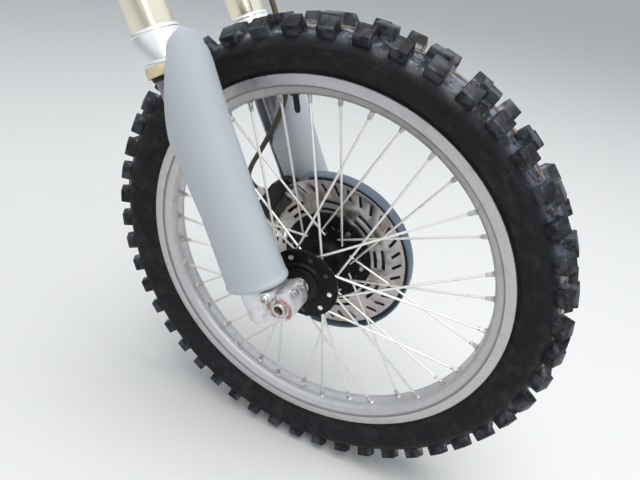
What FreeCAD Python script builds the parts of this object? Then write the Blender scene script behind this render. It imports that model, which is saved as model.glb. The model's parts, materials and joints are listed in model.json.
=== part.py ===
"""Motorcycle front fork with its wire-spoked wheel, knobbly tyre and disc brake.

Upside-down fork: two outer tubes held in the lower clamp of the steering stem, chromed inner
tubes below them, cast axle lugs with clip-on guards, and a 21 inch wheel between the legs.

Part frame: +X forward, +Y to the rider's left, +Z up, origin at the middle of the lower
bearing seat on the steering stem. Fork pieces are drawn in the upright fork frame, whose Z
runs up the steering axis, and then leaned back by the rake. Wheel pieces are drawn around
the Y axis and then moved to the axle. Heights named _rise are measured up the leg from the
axle. All sizes are in millimetres and degrees.
"""
import FreeCAD, Part
import math
import os
from FreeCAD import Vector

X_AXIS = Vector(1, 0, 0)
Y_AXIS = Vector(0, 1, 0)
Z_AXIS = Vector(0, 0, 1)
SIDES = (("right", -1), ("left", 1))

# Steering geometry
RAKE = 27.0
STEM_TO_LEG = 24.5
LEG_TO_AXLE = 35.0
LEG_SPACING = 200.0
CLAMP_TOP_RISE = 690.0
BEARING_SEAT_LENGTH = 24.0

# Clearances
FIT = 0.2
RUNNING_FIT = 0.08
SLIDE_FIT = 0.3

# Fork tubes
INNER_TUBE_R = 21.5
INNER_TUBE_WALL = 2.5
INNER_TUBE_FOOT_RISE = -14.0
INNER_TUBE_TOP_RISE = 520.0
OUTER_TUBE_R = 25.0
CLAMP_SEAT_R = 26.5
CLAMP_SEAT_MARGIN = 8.0
UPPER_TUBE_R = 25.6
TOP_SEAT_R = 25.0
TOP_SEAT_LENGTH = 40.0
TUBE_TAPER = 20.0
OUTER_TUBE_FOOT_RISE = 318.0
OUTER_TUBE_TOP_RISE = 880.0
CAP_R = 22.0
CAP_FLANGE_R = 24.5
CAP_DEPTH = 18.0
CAP_FLANGE_HEIGHT = 5.0
CAP_HEX_ACROSS = 30.0
CAP_HEX_HEIGHT = 8.0

# Collar, guide ring and wiper at the foot of each outer tube
COLLAR_FOOT_RISE = 327.0
COLLAR_TOP_RISE = 366.0
COLLAR_TOP_R = 29.0
COLLAR_FOOT_R = 28.0
COLLAR_LIP = 3.0
GUIDE_RING_HEIGHT = 11.0
GUIDE_RING_R = 28.6
WIPER_DEPTH = 7.0
WIPER_R = 24.6

# Axle lugs
LUG_CUP_R = 27.5
LUG_CUP_TOP_RISE = 40.0
LUG_CUP_FOOT_RISE = -18.5
LUG_STEP_R = 24.5
LUG_STEP = 5.0
LUG_FLAT_REAR = 22.0
LUG_BOSS_R = 20.0
LUG_INNER_Y = 72.0
LUG_BOSS_INNER_Y = 76.0
LUG_OUTER_Y = 118.0
LUG_RIM_R = 17.5
LUG_RIM_BORE_R = 13.5
LUG_RIM = 1.5
LUG_PAD_R = 8.5
LUG_PAD_Y = 127.0
PINCH_EAR_TOP_RISE = 21.5
PINCH_EAR_HALF = 20.0
PINCH_SLIT = 2.0
PINCH_BOLT_R = 3.5
PINCH_HEAD_R = 5.5
PINCH_HEAD_HEIGHT = 6.0
PINCH_BOLT_RISE = 15.5
PINCH_BOLT_YS = (84.0, 106.0)
PINCH_TUBE_GAP = 2.0

# Axle, nut and spacers
AXLE_R = 10.0
AXLE_BORE_R = 6.5
AXLE_END_Y = 123.0
AXLE_NUT_R = 12.5
AXLE_NUT_LENGTH = 10.0
SPACER_R = 14.0

# Fork guards
GUARD_WALL = 3.0
GUARD_HALF_WIDTH = 35.0
GUARD_END_R = 30.0
GUARD_CENTRE_Y = 98.0
GUARD_FOOT_RISE = 33.0
GUARD_REAR_ANGLE = 184.0
GUARD_SEAT_HALF = 4.0
GUARD_SEAT_HEIGHT = 6.0
# Columns: rise, middle of the section ahead of the leg axis, half its depth
GUARD_ROWS = (
    (20.0, -1.0, 47.0),
    (140.0, 2.5, 41.0),
    (240.0, 4.5, 43.0),
    (362.0, 17.0, 42.0),
)
# Columns: ahead of the leg axis, rise; the points of the arc that trims the rear edge
GUARD_TRIM = ((-32.0, 233.0), (7.0, 297.5), (38.0, 347.0))
# Columns: ahead of the leg axis, rise; the corners of its blunt top, on from the arc
GUARD_TOP = ((50.0, 354.5), (62.0, 341.0))
# The flank that closes the guard's inner side: its rear edge, and how near the wheel it starts
GUARD_FLANK_REAR = -16.0
GUARD_FLANK_FOOT = 104.0
GUARD_FLANK_FOOT_Y = 75.0
GUARD_FLANK_TOP_Y = 95.0
# Columns: ahead of the leg axis, rise; the flank's rear and upper edge
GUARD_FLANK_EDGE = ((-13.0, 104.0), (-15.0, 181.0), (18.0, 242.0), (44.0, 300.0), (64.0, 362.0))
GUARD_SCREW_R = 3.0
GUARD_SCREW_HEAD_R = 6.5
GUARD_SCREW_HEAD = 4.0
GUARD_SCREW_AHEAD = 24.5
GUARD_SCREW_RISE = 20.5
GUARD_SCREW_LENGTH = 12.0

# Lower clamp and steering stem
CLAMP_THICK = 34.0
CLAMP_RING_WALL = 10.0
CLAMP_BRIDGE_HALF = 34.0
CLAMP_SLIT = 3.0
CLAMP_EAR = 14.0
CLAMP_BOLT_R = 4.0
CLAMP_HEAD_R = 6.5
CLAMP_HEAD_HEIGHT = 7.0
CLAMP_BOLT_INSET = 9.0
STEM_FOOT_R = 16.0
STEM_SEAT_R = 15.0
STEM_SEAT_TAPER = 3.0
STEM_R = 12.5
STEM_CHAMFER = 1.5
STEM_BORE_R = 9.0
STEM_TOP = 200.0
STEM_BOSS_R = 27.0
MUDGUARD_HOLE_R = 3.0
MUDGUARD_HOLE_DEPTH = 14.0
MUDGUARD_CENTRE_X = 23.0
MUDGUARD_SPACING = 48.0

# Rim, in radius and half width
RIM_LIP_R = 282.0
RIM_HALF = 25.0
RIM_LIP_WALL = 3.2
RIM_BEAD_R = 269.0
RIM_WELL_R = 258.0
RIM_WELL_HALF = 9.0
RIM_INNER_R = 255.0
RIM_INNER_HALF = 13.0
RIM_STEP_R = 268.0
RIM_STEP = 1.6

# Tyre: a ring of straight segments, whose blocks repeat after some of them
TYRE_R = 349.0
KNOB_HEIGHT = 14.0
TYRE_HALF_WIDTH = 43.0
TYRE_WIDE_R = 311.0
TYRE_SHOULDER_R = 328.0
TYRE_SHOULDER_HALF = 33.0
TYRE_CROWN_HALF = 15.0
TYRE_WALL = 5.0
TYRE_LIP_GAP = 2.0
BEAD_GAP = 0.3
TYRE_SEGMENTS = 80
UNIT_SEGMENTS = 5
KNOB_TAPER = 1.0
# Columns: middle in Y, width, length along the tread, tip below the tyre's radius, lean outwards,
# root in the casing, angles of its blocks in each unit
KNOB_ROWS = (
    (0.0, 24.0, 25.0, 0.0, 0.0, 2.0, (3.75, 15.0)),
    (34.5, 21.0, 21.0, 7.0, 35.0, 6.0, (2.2, 9.7, 17.2)),
    (-34.5, 21.0, 21.0, 7.0, -35.0, 6.0, (2.2, 9.7, 17.2)),
)

# Hub, seals and spokes
HUB_BARREL_R = 24.0
HUB_END_Y = 58.0
HUB_BOSS_R = 33.0
SEAL_R = 27.0
SEAL_DEPTH = 7.0
# Columns: flange middle in Y, flange radius, radius where the spokes start, angle of the first
# pair of spokes, half the angle between a pair's starts
HUB_FLANGES = {
    "right": (-50.5, 54.0, 43.0, 29.2, 9.7),
    "left": (27.5, 56.0, 45.0, 20.0, 6.0),
}
FLANGE_THICK = 5.0
FLANGE_SLOPE = 11.0
CARRIER_R = 71.0
CARRIER_NECK_R = 45.0
CARRIER_THICK = 5.0
SPOKES_PER_SIDE = 18
SPOKE_R = 1.9
SPOKE_FACES = 8
SPOKE_RIM_SPREAD = 30.0
SPOKE_LAYER = 4.1
SPOKE_RIM_Y = 6.2
NIPPLE_FACES = 6
NIPPLE_R = 3.2
NIPPLE_LENGTH = 13.0
NIPPLE_GAP = 0.8

# Brake disc and bolts
DISC_R = 123.7
DISC_INNER_R = 52.0
DISC_THICK = 3.0
DISC_MIDDLE_Y = 38.5
DISC_BOLTS = 6
DISC_BOLT_CIRCLE = 58.0
DISC_BOLT_R = 3.0
DISC_HEAD_R = 6.0
DISC_HEAD_HEIGHT = 4.0
OUTER_SLOTS = 36
OUTER_SLOT_R = 110.5
OUTER_SLOT_LENGTH = 16.9
OUTER_SLOT_WIDTH = 4.5
OUTER_SLOT_TURN = 34.0
ARC_GROUPS = 9
ARC_START = 14.5
ARC_OPENING = 21.0
ARC_WIDTH = 5.0
ARC_RADII = (78.0, 90.5)

# Disc cover on the left lug
COVER_R = 132.0
COVER_WALL = 2.5
COVER_PLATE_Y = 50.0
COVER_RIM_Y = 31.0
COVER_BEND_R = 46.0
COVER_NECK_R = 40.0
COVER_NECK_Y = 64.0
COVER_FLAT_R = 30.0
COVER_HOLE_R = 17.0
COVER_GAP_HALF_ANGLE = 35.0

# Brake caliper, carried behind the left leg
CALIPER_ANGLE = 33.0
CALIPER_LENGTH = 92.0
CALIPER_INNER_R = 84.0
CALIPER_WALL_R = 112.0
CALIPER_OUTER_R = 136.0
CALIPER_CORNER = 14.0
CALIPER_INNER_Y = 26.7
CALIPER_OUTER_Y = 66.0
CALIPER_SLOT_HALF = 7.5
CALIPER_DISC_GAP = 5.5
BRACKET_INNER_R = 40.0
BRACKET_LAP = 4.0
PAD_MIDDLE_R = 110.0
PAD_LENGTH = 52.0
PAD_HEIGHT = 25.0
PAD_THICK = 5.0
PAD_GAP = 0.4

# Inner tube valve
VALVE_ANGLE = 104.0
VALVE_NUT_R = 7.0
VALVE_NUT_HEIGHT = 3.0
VALVE_R = 4.0
VALVE_LENGTH = 26.0
VALVE_TIP_R = 2.0
VALVE_TIP = 3.0

# Brake hose: its points as ahead of the leg axis, rise and Y
HOSE_R = 4.0
HOSE_BEND_SHARE = 0.45
HOSE_POINTS = (
    (-67.0, 120.0, 62.0),
    (-82.0, 138.0, 64.0),
    (-66.0, 158.0, 66.0),
    (-36.0, 178.0, 63.0),
    (-5.0, 201.0, 61.5),
    (24.0, 225.0, 61.5),
    (44.0, 250.0, 63.0),
    (58.0, 292.0, 67.0),
    (63.0, 350.0, 70.0),
    (61.0, 440.0, 73.0),
    (56.0, 530.0, 75.0),
    (52.0, 620.0, 74.0),
    (49.0, 726.0, 73.0),
    (45.0, 800.0, 74.0),
    (42.0, 856.0, 77.0),
)

# Clips and end fittings of the hose
CLIP_WALL = 2.0
CLIP_WIDTH = 9.0
CLIP_BAND_WALL = 2.0
BANJO_R = 9.0
BANJO_THICK = 9.0
BANJO_GAP = 2.0
SLEEVE_R = 5.6
# What carries each clip, and the first point of the run of hose that it holds
CLIP_RUNS = (("guard", 6), ("clamp", 11), ("tube", 13))

# Places worked out from the sizes above, in the upright fork frame
LEG_X = STEM_TO_LEG
LEG_Y = LEG_SPACING / 2
AXLE_X = STEM_TO_LEG + LEG_TO_AXLE
AXLE_Z = -(CLAMP_TOP_RISE + BEARING_SEAT_LENGTH / 2)
CLAMP_TOP_Z = -BEARING_SEAT_LENGTH / 2
PINCH_FOOT_X = LEG_X + INNER_TUBE_R + PINCH_TUBE_GAP


def level(rise):
    """Height in the fork frame of a place given as a rise above the axle."""
    return AXLE_Z + rise


def lean(shape):
    """Turn a shape from the upright fork frame into the part frame."""
    turned = shape.copy()
    turned.rotate(Vector(0, 0, 0), Y_AXIS, -RAKE)
    return turned


AXLE = FreeCAD.Rotation(Y_AXIS, -RAKE).multVec(Vector(AXLE_X, 0, AXLE_Z))


def at_axle(shape):
    """Move a shape drawn around the Y axis to the wheel's place."""
    moved = shape.copy()
    moved.translate(AXLE)
    return moved


def keep(name, shape):
    """Write one node's STEP file."""
    shape.exportStep("parts/%s.step" % name)


def rod(radius, start, end):
    """A round bar between two points."""
    span = end - start
    return Part.makeCylinder(radius, span.Length, start, span)


def ring(outer, inner, start, end):
    """A round tube between two points."""
    return rod(outer, start, end).cut(rod(inner, start, end))


def upright(x, y, rise):
    """A point of the fork frame, from its rise above the axle."""
    return Vector(x, y, level(rise))


def turned_profile(points, axis):
    """Revolve a closed outline of (radius, height along the axis) points."""
    if axis == Y_AXIS:
        corners = [Vector(radius, height, 0) for radius, height in points]
    else:
        corners = [Vector(radius, 0, height) for radius, height in points]
    face = Part.Face(Part.makePolygon(corners + corners[:1]))
    return face.revolve(Vector(0, 0, 0), axis, 360)


def polar(radius, angle, y):
    """A point at an angle from +X towards +Z around the Y axis."""
    turn = math.radians(angle)
    return Vector(radius * math.cos(turn), y, radius * math.sin(turn))


def prism(sides, radius, start, end):
    """A bar with a regular section between two points, measured to its corners."""
    along = end - start
    turned = FreeCAD.Rotation(Z_AXIS, along)
    corners = []
    for index in range(sides):
        turn = 2 * math.pi * index / sides
        corner = Vector(radius * math.cos(turn), radius * math.sin(turn), 0)
        corners.append(start + turned.multVec(corner))
    return Part.Face(Part.makePolygon(corners + corners[:1])).extrude(along)


def around(shape, angle):
    """A copy turned about the wheel's axis, from +X towards +Z."""
    copy = shape.copy()
    copy.rotate(Vector(0, 0, 0), Y_AXIS, -angle)
    return copy


# Fork tubes
def outer_tube(y):
    """Thicker where the lower clamp holds it, with a plain seat for the upper clamp on top."""
    bore = INNER_TUBE_R + SLIDE_FIT
    clamp_foot = CLAMP_TOP_RISE - CLAMP_THICK - CLAMP_SEAT_MARGIN
    clamp_top = CLAMP_TOP_RISE + CLAMP_SEAT_MARGIN
    seat_foot = OUTER_TUBE_TOP_RISE - TOP_SEAT_LENGTH
    outline = (
        (bore, OUTER_TUBE_FOOT_RISE),
        (OUTER_TUBE_R, OUTER_TUBE_FOOT_RISE),
        (OUTER_TUBE_R, clamp_foot - TUBE_TAPER),
        (CLAMP_SEAT_R, clamp_foot),
        (CLAMP_SEAT_R, clamp_top),
        (UPPER_TUBE_R, clamp_top + TUBE_TAPER),
        (UPPER_TUBE_R, seat_foot),
        (TOP_SEAT_R, seat_foot),
        (TOP_SEAT_R, OUTER_TUBE_TOP_RISE),
        (bore, OUTER_TUBE_TOP_RISE),
    )
    tube = turned_profile(outline, Z_AXIS)
    tube.translate(upright(LEG_X, y, 0))
    return tube


def tube_cap(y):
    top = upright(LEG_X, y, OUTER_TUBE_TOP_RISE)
    plug_r = INNER_TUBE_R + SLIDE_FIT - FIT
    plug = rod(plug_r, top - Z_AXIS * CAP_DEPTH, top)
    flange = rod(CAP_FLANGE_R, top, top + Z_AXIS * CAP_FLANGE_HEIGHT)
    crown_foot = top + Z_AXIS * CAP_FLANGE_HEIGHT
    crown = prism(6, CAP_HEX_ACROSS / math.sqrt(3), crown_foot, crown_foot + Z_AXIS * CAP_HEX_HEIGHT)
    return plug.fuse([flange, crown]).removeSplitter()


def inner_tube(y):
    return ring(INNER_TUBE_R, INNER_TUBE_R - INNER_TUBE_WALL,
                upright(LEG_X, y, INNER_TUBE_FOOT_RISE), upright(LEG_X, y, INNER_TUBE_TOP_RISE))


def tube_collar(y):
    bore = OUTER_TUBE_R + FIT
    height = COLLAR_TOP_RISE - COLLAR_FOOT_RISE
    outline = (
        (bore, 0),
        (COLLAR_FOOT_R, 0),
        (COLLAR_TOP_R, height - COLLAR_LIP),
        (COLLAR_TOP_R - COLLAR_LIP / 2, height),
        (bore, height),
    )
    collar = turned_profile(outline, Z_AXIS)
    collar.translate(upright(LEG_X, y, COLLAR_FOOT_RISE))
    return collar


def guide_ring(y):
    top = COLLAR_FOOT_RISE - FIT
    return ring(GUIDE_RING_R, OUTER_TUBE_R + FIT,
                upright(LEG_X, y, top - GUIDE_RING_HEIGHT), upright(LEG_X, y, top))


def dust_wiper(y):
    top = OUTER_TUBE_FOOT_RISE - FIT
    return ring(WIPER_R, INNER_TUBE_R + FIT,
                upright(LEG_X, y, top - WIPER_DEPTH), upright(LEG_X, y, top))


# Axle lugs
def slab(low_x, high_x, low_y, high_y, low_rise, high_rise):
    """A block of the fork frame between two values of each axis, in either order in Y."""
    return Part.makeBox(high_x - low_x, abs(high_y - low_y), high_rise - low_rise,
                        upright(low_x, min(low_y, high_y), low_rise))


def axle_lug(side):
    """A cup for the inner tube with a flat inner side, and the split boss that grips the axle."""
    y = side * LEG_Y
    inner = side * LUG_INNER_Y
    boss_inner = side * LUG_BOSS_INNER_Y
    outer = side * LUG_OUTER_Y
    screw_x = LEG_X + GUARD_SCREW_AHEAD
    step_rise = LUG_CUP_FOOT_RISE + LUG_STEP
    seat_x = LEG_X + GUARD_ROWS[0][1]
    seat_y = side * (GUARD_CENTRE_Y + GUARD_HALF_WIDTH - GUARD_WALL - FIT)
    body = rod(LUG_CUP_R, upright(LEG_X, y, step_rise), upright(LEG_X, y, LUG_CUP_TOP_RISE))
    pieces = [
        rod(LUG_STEP_R, upright(LEG_X, y, LUG_CUP_FOOT_RISE), upright(LEG_X, y, step_rise)),
        slab(LEG_X - LUG_FLAT_REAR, AXLE_X - SPACER_R - SLIDE_FIT, inner, y, step_rise,
             LUG_CUP_TOP_RISE),
        rod(LUG_BOSS_R, upright(AXLE_X, boss_inner, 0), upright(AXLE_X, outer, 0)),
        rod(LUG_RIM_R, upright(AXLE_X, outer, 0), upright(AXLE_X, outer + side * LUG_RIM, 0)),
        slab(LEG_X, AXLE_X, boss_inner, outer, -LUG_BOSS_R, LUG_BOSS_R),
        slab(AXLE_X - PINCH_EAR_HALF, AXLE_X + PINCH_EAR_HALF, boss_inner, outer, 0,
             PINCH_EAR_TOP_RISE),
        rod(LUG_PAD_R, upright(screw_x, y, GUARD_SCREW_RISE),
            upright(screw_x, side * LUG_PAD_Y, GUARD_SCREW_RISE)),
        slab(seat_x - GUARD_SEAT_HALF, seat_x + GUARD_SEAT_HALF, y, seat_y,
             LUG_CUP_TOP_RISE - GUARD_SEAT_HEIGHT, LUG_CUP_TOP_RISE),
    ]
    cuts = [
        rod(INNER_TUBE_R + FIT, upright(LEG_X, y, INNER_TUBE_FOOT_RISE),
            upright(LEG_X, y, LUG_CUP_TOP_RISE)),
        rod(AXLE_R + RUNNING_FIT, upright(AXLE_X, boss_inner - side, 0),
            upright(AXLE_X, outer + side, 0)),
        rod(LUG_RIM_BORE_R, upright(AXLE_X, outer, 0), upright(AXLE_X, outer + side * LUG_RIM, 0)),
        slab(AXLE_X - PINCH_SLIT / 2, AXLE_X + PINCH_SLIT / 2, boss_inner,
             outer + side * LUG_RIM, 0, PINCH_EAR_TOP_RISE),
        rod(GUARD_SCREW_R + RUNNING_FIT,
            upright(screw_x, side * (LUG_PAD_Y - GUARD_SCREW_LENGTH), GUARD_SCREW_RISE),
            upright(screw_x, side * LUG_PAD_Y, GUARD_SCREW_RISE)),
    ]
    for bolt_y in PINCH_BOLT_YS:
        cuts.append(rod(PINCH_BOLT_R + RUNNING_FIT,
                        upright(PINCH_FOOT_X, side * bolt_y, PINCH_BOLT_RISE),
                        upright(AXLE_X + PINCH_EAR_HALF, side * bolt_y, PINCH_BOLT_RISE)))
    return body.fuse(pieces).cut(cuts).removeSplitter()


def pinch_bolts(side):
    bolts = []
    for bolt_y in PINCH_BOLT_YS:
        foot = upright(PINCH_FOOT_X, side * bolt_y, PINCH_BOLT_RISE)
        seat = upright(AXLE_X + PINCH_EAR_HALF, side * bolt_y, PINCH_BOLT_RISE)
        shank = rod(PINCH_BOLT_R, foot, seat)
        head = rod(PINCH_HEAD_R, seat, seat + X_AXIS * PINCH_HEAD_HEIGHT)
        bolts.append(shank.fuse(head))
    return Part.makeCompound(bolts)


# Fork guards
def bow(middle, radius, start, end):
    """An arc in the XY plane, between two angles about a middle."""
    points = []
    for angle in (start, (start + end) / 2, end):
        turn = math.radians(angle)
        points.append(middle + Vector(radius * math.cos(turn), radius * math.sin(turn), 0))
    return Part.Arc(*points).toShape()


def guard_section(rise, ahead, half_depth):
    """C-shaped section of the left guard: two round ends, a flatter side and a straight flank."""
    end_x = half_depth - GUARD_END_R
    side_r = ((end_x ** 2 + GUARD_HALF_WIDTH ** 2 - GUARD_END_R ** 2)
              / (2 * (GUARD_HALF_WIDTH - GUARD_END_R)))
    side_middle = Vector(0, GUARD_HALF_WIDTH - side_r, 0)
    meet = math.degrees(math.atan2(-side_middle.y, end_x))
    flank_x = GUARD_FLANK_REAR - ahead
    edges = []
    corners = []
    for wall in (0.0, GUARD_WALL):
        front = bow(Vector(end_x, 0, 0), GUARD_END_R - wall, -90, meet)
        middle = bow(side_middle, side_r - wall, meet, 180 - meet)
        rear = bow(Vector(-end_x, 0, 0), GUARD_END_R - wall, 180 - meet, GUARD_REAR_ANGLE)
        flank_end = Vector(flank_x, wall - GUARD_END_R, 0)
        edges += [Part.makeLine(flank_end, front.Vertexes[0].Point), front, middle, rear]
        corners += [flank_end, rear.Vertexes[-1].Point]
    edges.append(Part.makeLine(corners[0], corners[2]))
    edges.append(Part.makeLine(corners[1], corners[3]))
    wire = Part.Wire(Part.__sortEdges__(edges))
    wire.translate(upright(LEG_X + ahead, GUARD_CENTRE_Y, rise))
    return wire


def guard_outline():
    """The guard's outline seen from the side, as a slab through both sides of its leg."""
    half = LEG_SPACING / 2
    foot_rear = Vector(-half, 0, GUARD_FOOT_RISE)
    foot_front = Vector(half, 0, GUARD_FOOT_RISE)
    trim = [Vector(ahead, 0, rise) for ahead, rise in GUARD_TRIM]
    top, front = [Vector(ahead, 0, rise) for ahead, rise in GUARD_TOP]
    rear_top = Vector(-half, 0, trim[0].z)
    edges = [
        Part.makeLine(foot_rear, foot_front),
        Part.makeLine(foot_front, Vector(half, 0, front.z)),
        Part.makeLine(Vector(half, 0, front.z), front),
        Part.makeLine(front, top),
        Part.makeLine(top, trim[2]),
        Part.Arc(trim[2], trim[1], trim[0]).toShape(),
        Part.makeLine(trim[0], rear_top),
        Part.makeLine(rear_top, foot_rear),
    ]
    face = Part.Face(Part.Wire(edges))
    face.translate(upright(LEG_X, -LEG_SPACING, 0))
    return face.extrude(Y_AXIS * 2 * LEG_SPACING)


def guard_cuts():
    """What the flank leaves open: its rear and upper edge, and all below its foot."""
    edge = [Vector(ahead, 0, rise) for ahead, rise in GUARD_FLANK_EDGE]
    behind = -LEG_SPACING / 2
    corners = edge + [Vector(behind, 0, edge[-1].z), Vector(behind, 0, edge[0].z)]
    upper = Part.Face(Part.makePolygon(corners + corners[:1]))
    upper.translate(upright(LEG_X, 0, 0))
    lower = slab(LEG_X + behind, LEG_X - behind, 0, GUARD_FLANK_FOOT_Y, 0, GUARD_FLANK_FOOT)
    return [upper.extrude(Y_AXIS * GUARD_FLANK_TOP_Y), lower]


def fork_guard(side):
    """Sections joined up the leg and trimmed to their outline, mirrored for the right leg."""
    wires = [guard_section(*row) for row in GUARD_ROWS]
    guard = Part.makeLoft(wires, True, True).common(guard_outline()).cut(guard_cuts())
    if side < 0:
        guard = guard.mirror(Vector(0, 0, 0), Y_AXIS)
    return guard


# Lower clamp and steering stem
def lower_clamp():
    """Two tube rings on a bridge, each with a slit ear behind it, and the stem's boss."""
    low = CLAMP_TOP_Z - CLAMP_THICK
    ring_r = CLAMP_SEAT_R + CLAMP_RING_WALL
    ear_x = LEG_X - ring_r - CLAMP_EAR
    body = rod(STEM_BOSS_R, Vector(0, 0, low), Vector(0, 0, CLAMP_TOP_Z))
    bridge = Part.makeBox(CLAMP_BRIDGE_HALF * 2, LEG_SPACING, CLAMP_THICK,
                          Vector(LEG_X - CLAMP_BRIDGE_HALF, -LEG_Y, low))
    pieces = [bridge]
    cuts = [rod(STEM_FOOT_R, Vector(0, 0, low), Vector(0, 0, CLAMP_TOP_Z))]
    for name, side in SIDES:
        foot = Vector(LEG_X, side * LEG_Y, low)
        pieces.append(rod(ring_r, foot, foot + Z_AXIS * CLAMP_THICK))
        pieces.append(Part.makeBox(LEG_X - ear_x, 2 * CLAMP_EAR, CLAMP_THICK,
                                   Vector(ear_x, side * LEG_Y - CLAMP_EAR, low)))
        cuts.append(rod(CLAMP_SEAT_R + RUNNING_FIT, foot, foot + Z_AXIS * CLAMP_THICK))
        cuts.append(Part.makeBox(LEG_X - ear_x, CLAMP_SLIT, CLAMP_THICK,
                                 Vector(ear_x, side * LEG_Y - CLAMP_SLIT / 2, low)))
        for seat in clamp_bolt_seats(side):
            cuts.append(rod(CLAMP_BOLT_R + RUNNING_FIT, seat,
                            seat + Y_AXIS * side * 2 * CLAMP_EAR))
    for ahead in (-0.5, 0.5):
        for aside in (-0.5, 0.5):
            mouth = Vector(MUDGUARD_CENTRE_X + ahead * MUDGUARD_SPACING,
                           aside * MUDGUARD_SPACING, low)
            cuts.append(rod(MUDGUARD_HOLE_R, mouth, mouth + Z_AXIS * MUDGUARD_HOLE_DEPTH))
    return body.fuse(pieces).cut(cuts).removeSplitter()


def clamp_bolt_seats(side):
    """Where the heads of one ear's two bolts sit."""
    x = LEG_X - CLAMP_SEAT_R - CLAMP_RING_WALL - CLAMP_EAR / 2
    y = side * (LEG_Y - CLAMP_EAR)
    insets = (CLAMP_BOLT_INSET, CLAMP_THICK - CLAMP_BOLT_INSET)
    return [Vector(x, y, CLAMP_TOP_Z - inset) for inset in insets]


def steering_stem():
    low = CLAMP_TOP_Z - CLAMP_THICK
    seat_top = BEARING_SEAT_LENGTH / 2
    outline = (
        (STEM_BORE_R, low),
        (STEM_FOOT_R, low),
        (STEM_FOOT_R, CLAMP_TOP_Z),
        (STEM_SEAT_R, CLAMP_TOP_Z),
        (STEM_SEAT_R, seat_top),
        (STEM_R, seat_top + STEM_SEAT_TAPER),
        (STEM_R, STEM_TOP - STEM_CHAMFER),
        (STEM_R - STEM_CHAMFER, STEM_TOP),
        (STEM_BORE_R, STEM_TOP),
    )
    return turned_profile(outline, Z_AXIS)


# Axle line
def front_axle():
    start = upright(AXLE_X, -AXLE_END_Y, 0)
    end = upright(AXLE_X, AXLE_END_Y, 0)
    return ring(AXLE_R, AXLE_BORE_R, start, end)


def axle_nut():
    start = upright(AXLE_X, LUG_OUTER_Y + FIT, 0)
    end = start + Y_AXIS * AXLE_NUT_LENGTH
    return rod(AXLE_NUT_R, start, end).cut(rod(AXLE_R + RUNNING_FIT, start, end))


def wheel_spacer(side):
    start = upright(AXLE_X, side * (HUB_END_Y - SEAL_DEPTH + SLIDE_FIT), 0)
    end = upright(AXLE_X, side * (LUG_BOSS_INNER_Y - FIT), 0)
    return ring(SPACER_R, AXLE_R + RUNNING_FIT, start, end)


# Wheel
def mirrored(half):
    """A (radius, y) outline closed by its mirror image in y."""
    return tuple(half) + tuple((radius, -y) for radius, y in reversed(half))


def rim():
    """A drop-centre section: lips, bead seats, well, and the inner face that the nipples meet."""
    outside = (
        (RIM_INNER_R, RIM_INNER_HALF),
        (RIM_STEP_R, RIM_HALF - RIM_STEP),
        (RIM_STEP_R, RIM_HALF),
        (RIM_LIP_R, RIM_HALF),
        (RIM_LIP_R, RIM_HALF - RIM_LIP_WALL),
        (RIM_BEAD_R, RIM_HALF - RIM_LIP_WALL),
        (RIM_WELL_R, RIM_WELL_HALF),
    )
    return turned_profile(mirrored(outside), Y_AXIS)


def casing_segment():
    """One straight length of the hollow casing, mitred to meet its neighbours."""
    seat = RIM_HALF - RIM_LIP_WALL - BEAD_GAP
    bead_r = RIM_BEAD_R + BEAD_GAP
    crown_r = TYRE_R - KNOB_HEIGHT
    lip_r = RIM_LIP_R + TYRE_LIP_GAP
    outside = (
        (bead_r, seat),
        (lip_r, seat),
        (TYRE_WIDE_R, TYRE_HALF_WIDTH),
        (TYRE_SHOULDER_R, TYRE_SHOULDER_HALF),
        (crown_r, TYRE_CROWN_HALF),
    )
    inside = (
        (bead_r, seat - TYRE_WALL),
        (lip_r, seat - TYRE_WALL),
        (TYRE_WIDE_R, TYRE_HALF_WIDTH - TYRE_WALL),
        (crown_r - TYRE_WALL, TYRE_CROWN_HALF - TYRE_WALL / 2),
    )
    outline = mirrored(outside) + mirrored(inside)[::-1]
    corners = [Vector(radius, y, 0) for radius, y in outline]
    face = Part.Face(Part.makePolygon(corners + corners[:1]))
    reach = TYRE_R * 2
    half = reach * math.tan(math.pi / TYRE_SEGMENTS)
    face.translate(Vector(0, 0, -half))
    length = face.extrude(Z_AXIS * 2 * half)
    ends = [Vector(0, -reach, 0), Vector(reach, -reach, -half), Vector(reach, -reach, half)]
    mitre = Part.Face(Part.makePolygon(ends + ends[:1])).extrude(Y_AXIS * 2 * reach)
    return length.common(mitre)


def knob(y, width, length, drop, lean_out, root):
    """One tread block at the angle zero, wider at its foot, square to the casing."""
    wires = []
    for depth, grow in ((KNOB_HEIGHT + root, KNOB_TAPER), (0.0, 0.0)):
        half_width = width / 2 + grow
        half_length = length / 2 + grow
        corners = [Vector(-depth, across * half_width, along * half_length)
                   for across, along in ((-1, -1), (1, -1), (1, 1), (-1, 1))]
        wires.append(Part.makePolygon(corners + corners[:1]))
    block = Part.makeLoft(wires, True, True)
    block.rotate(Vector(0, 0, 0), Z_AXIS, lean_out)
    block.translate(Vector(TYRE_R - drop, y, 0))
    return block


def tyre():
    segment = casing_segment()
    turn = 360.0 / TYRE_SEGMENTS
    unit = []
    for index in range(UNIT_SEGMENTS):
        unit.append(around(segment, index * turn))
    for y, width, length, drop, lean_out, root, angles in KNOB_ROWS:
        block = knob(y, width, length, drop, lean_out, root)
        unit += [around(block, angle) for angle in angles]
    unit = unit[0].fuse(unit[1:])
    units = [around(unit, index * turn) for index in range(0, TYRE_SEGMENTS, UNIT_SEGMENTS)]
    return units[0].fuse(units[1:])


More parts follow.
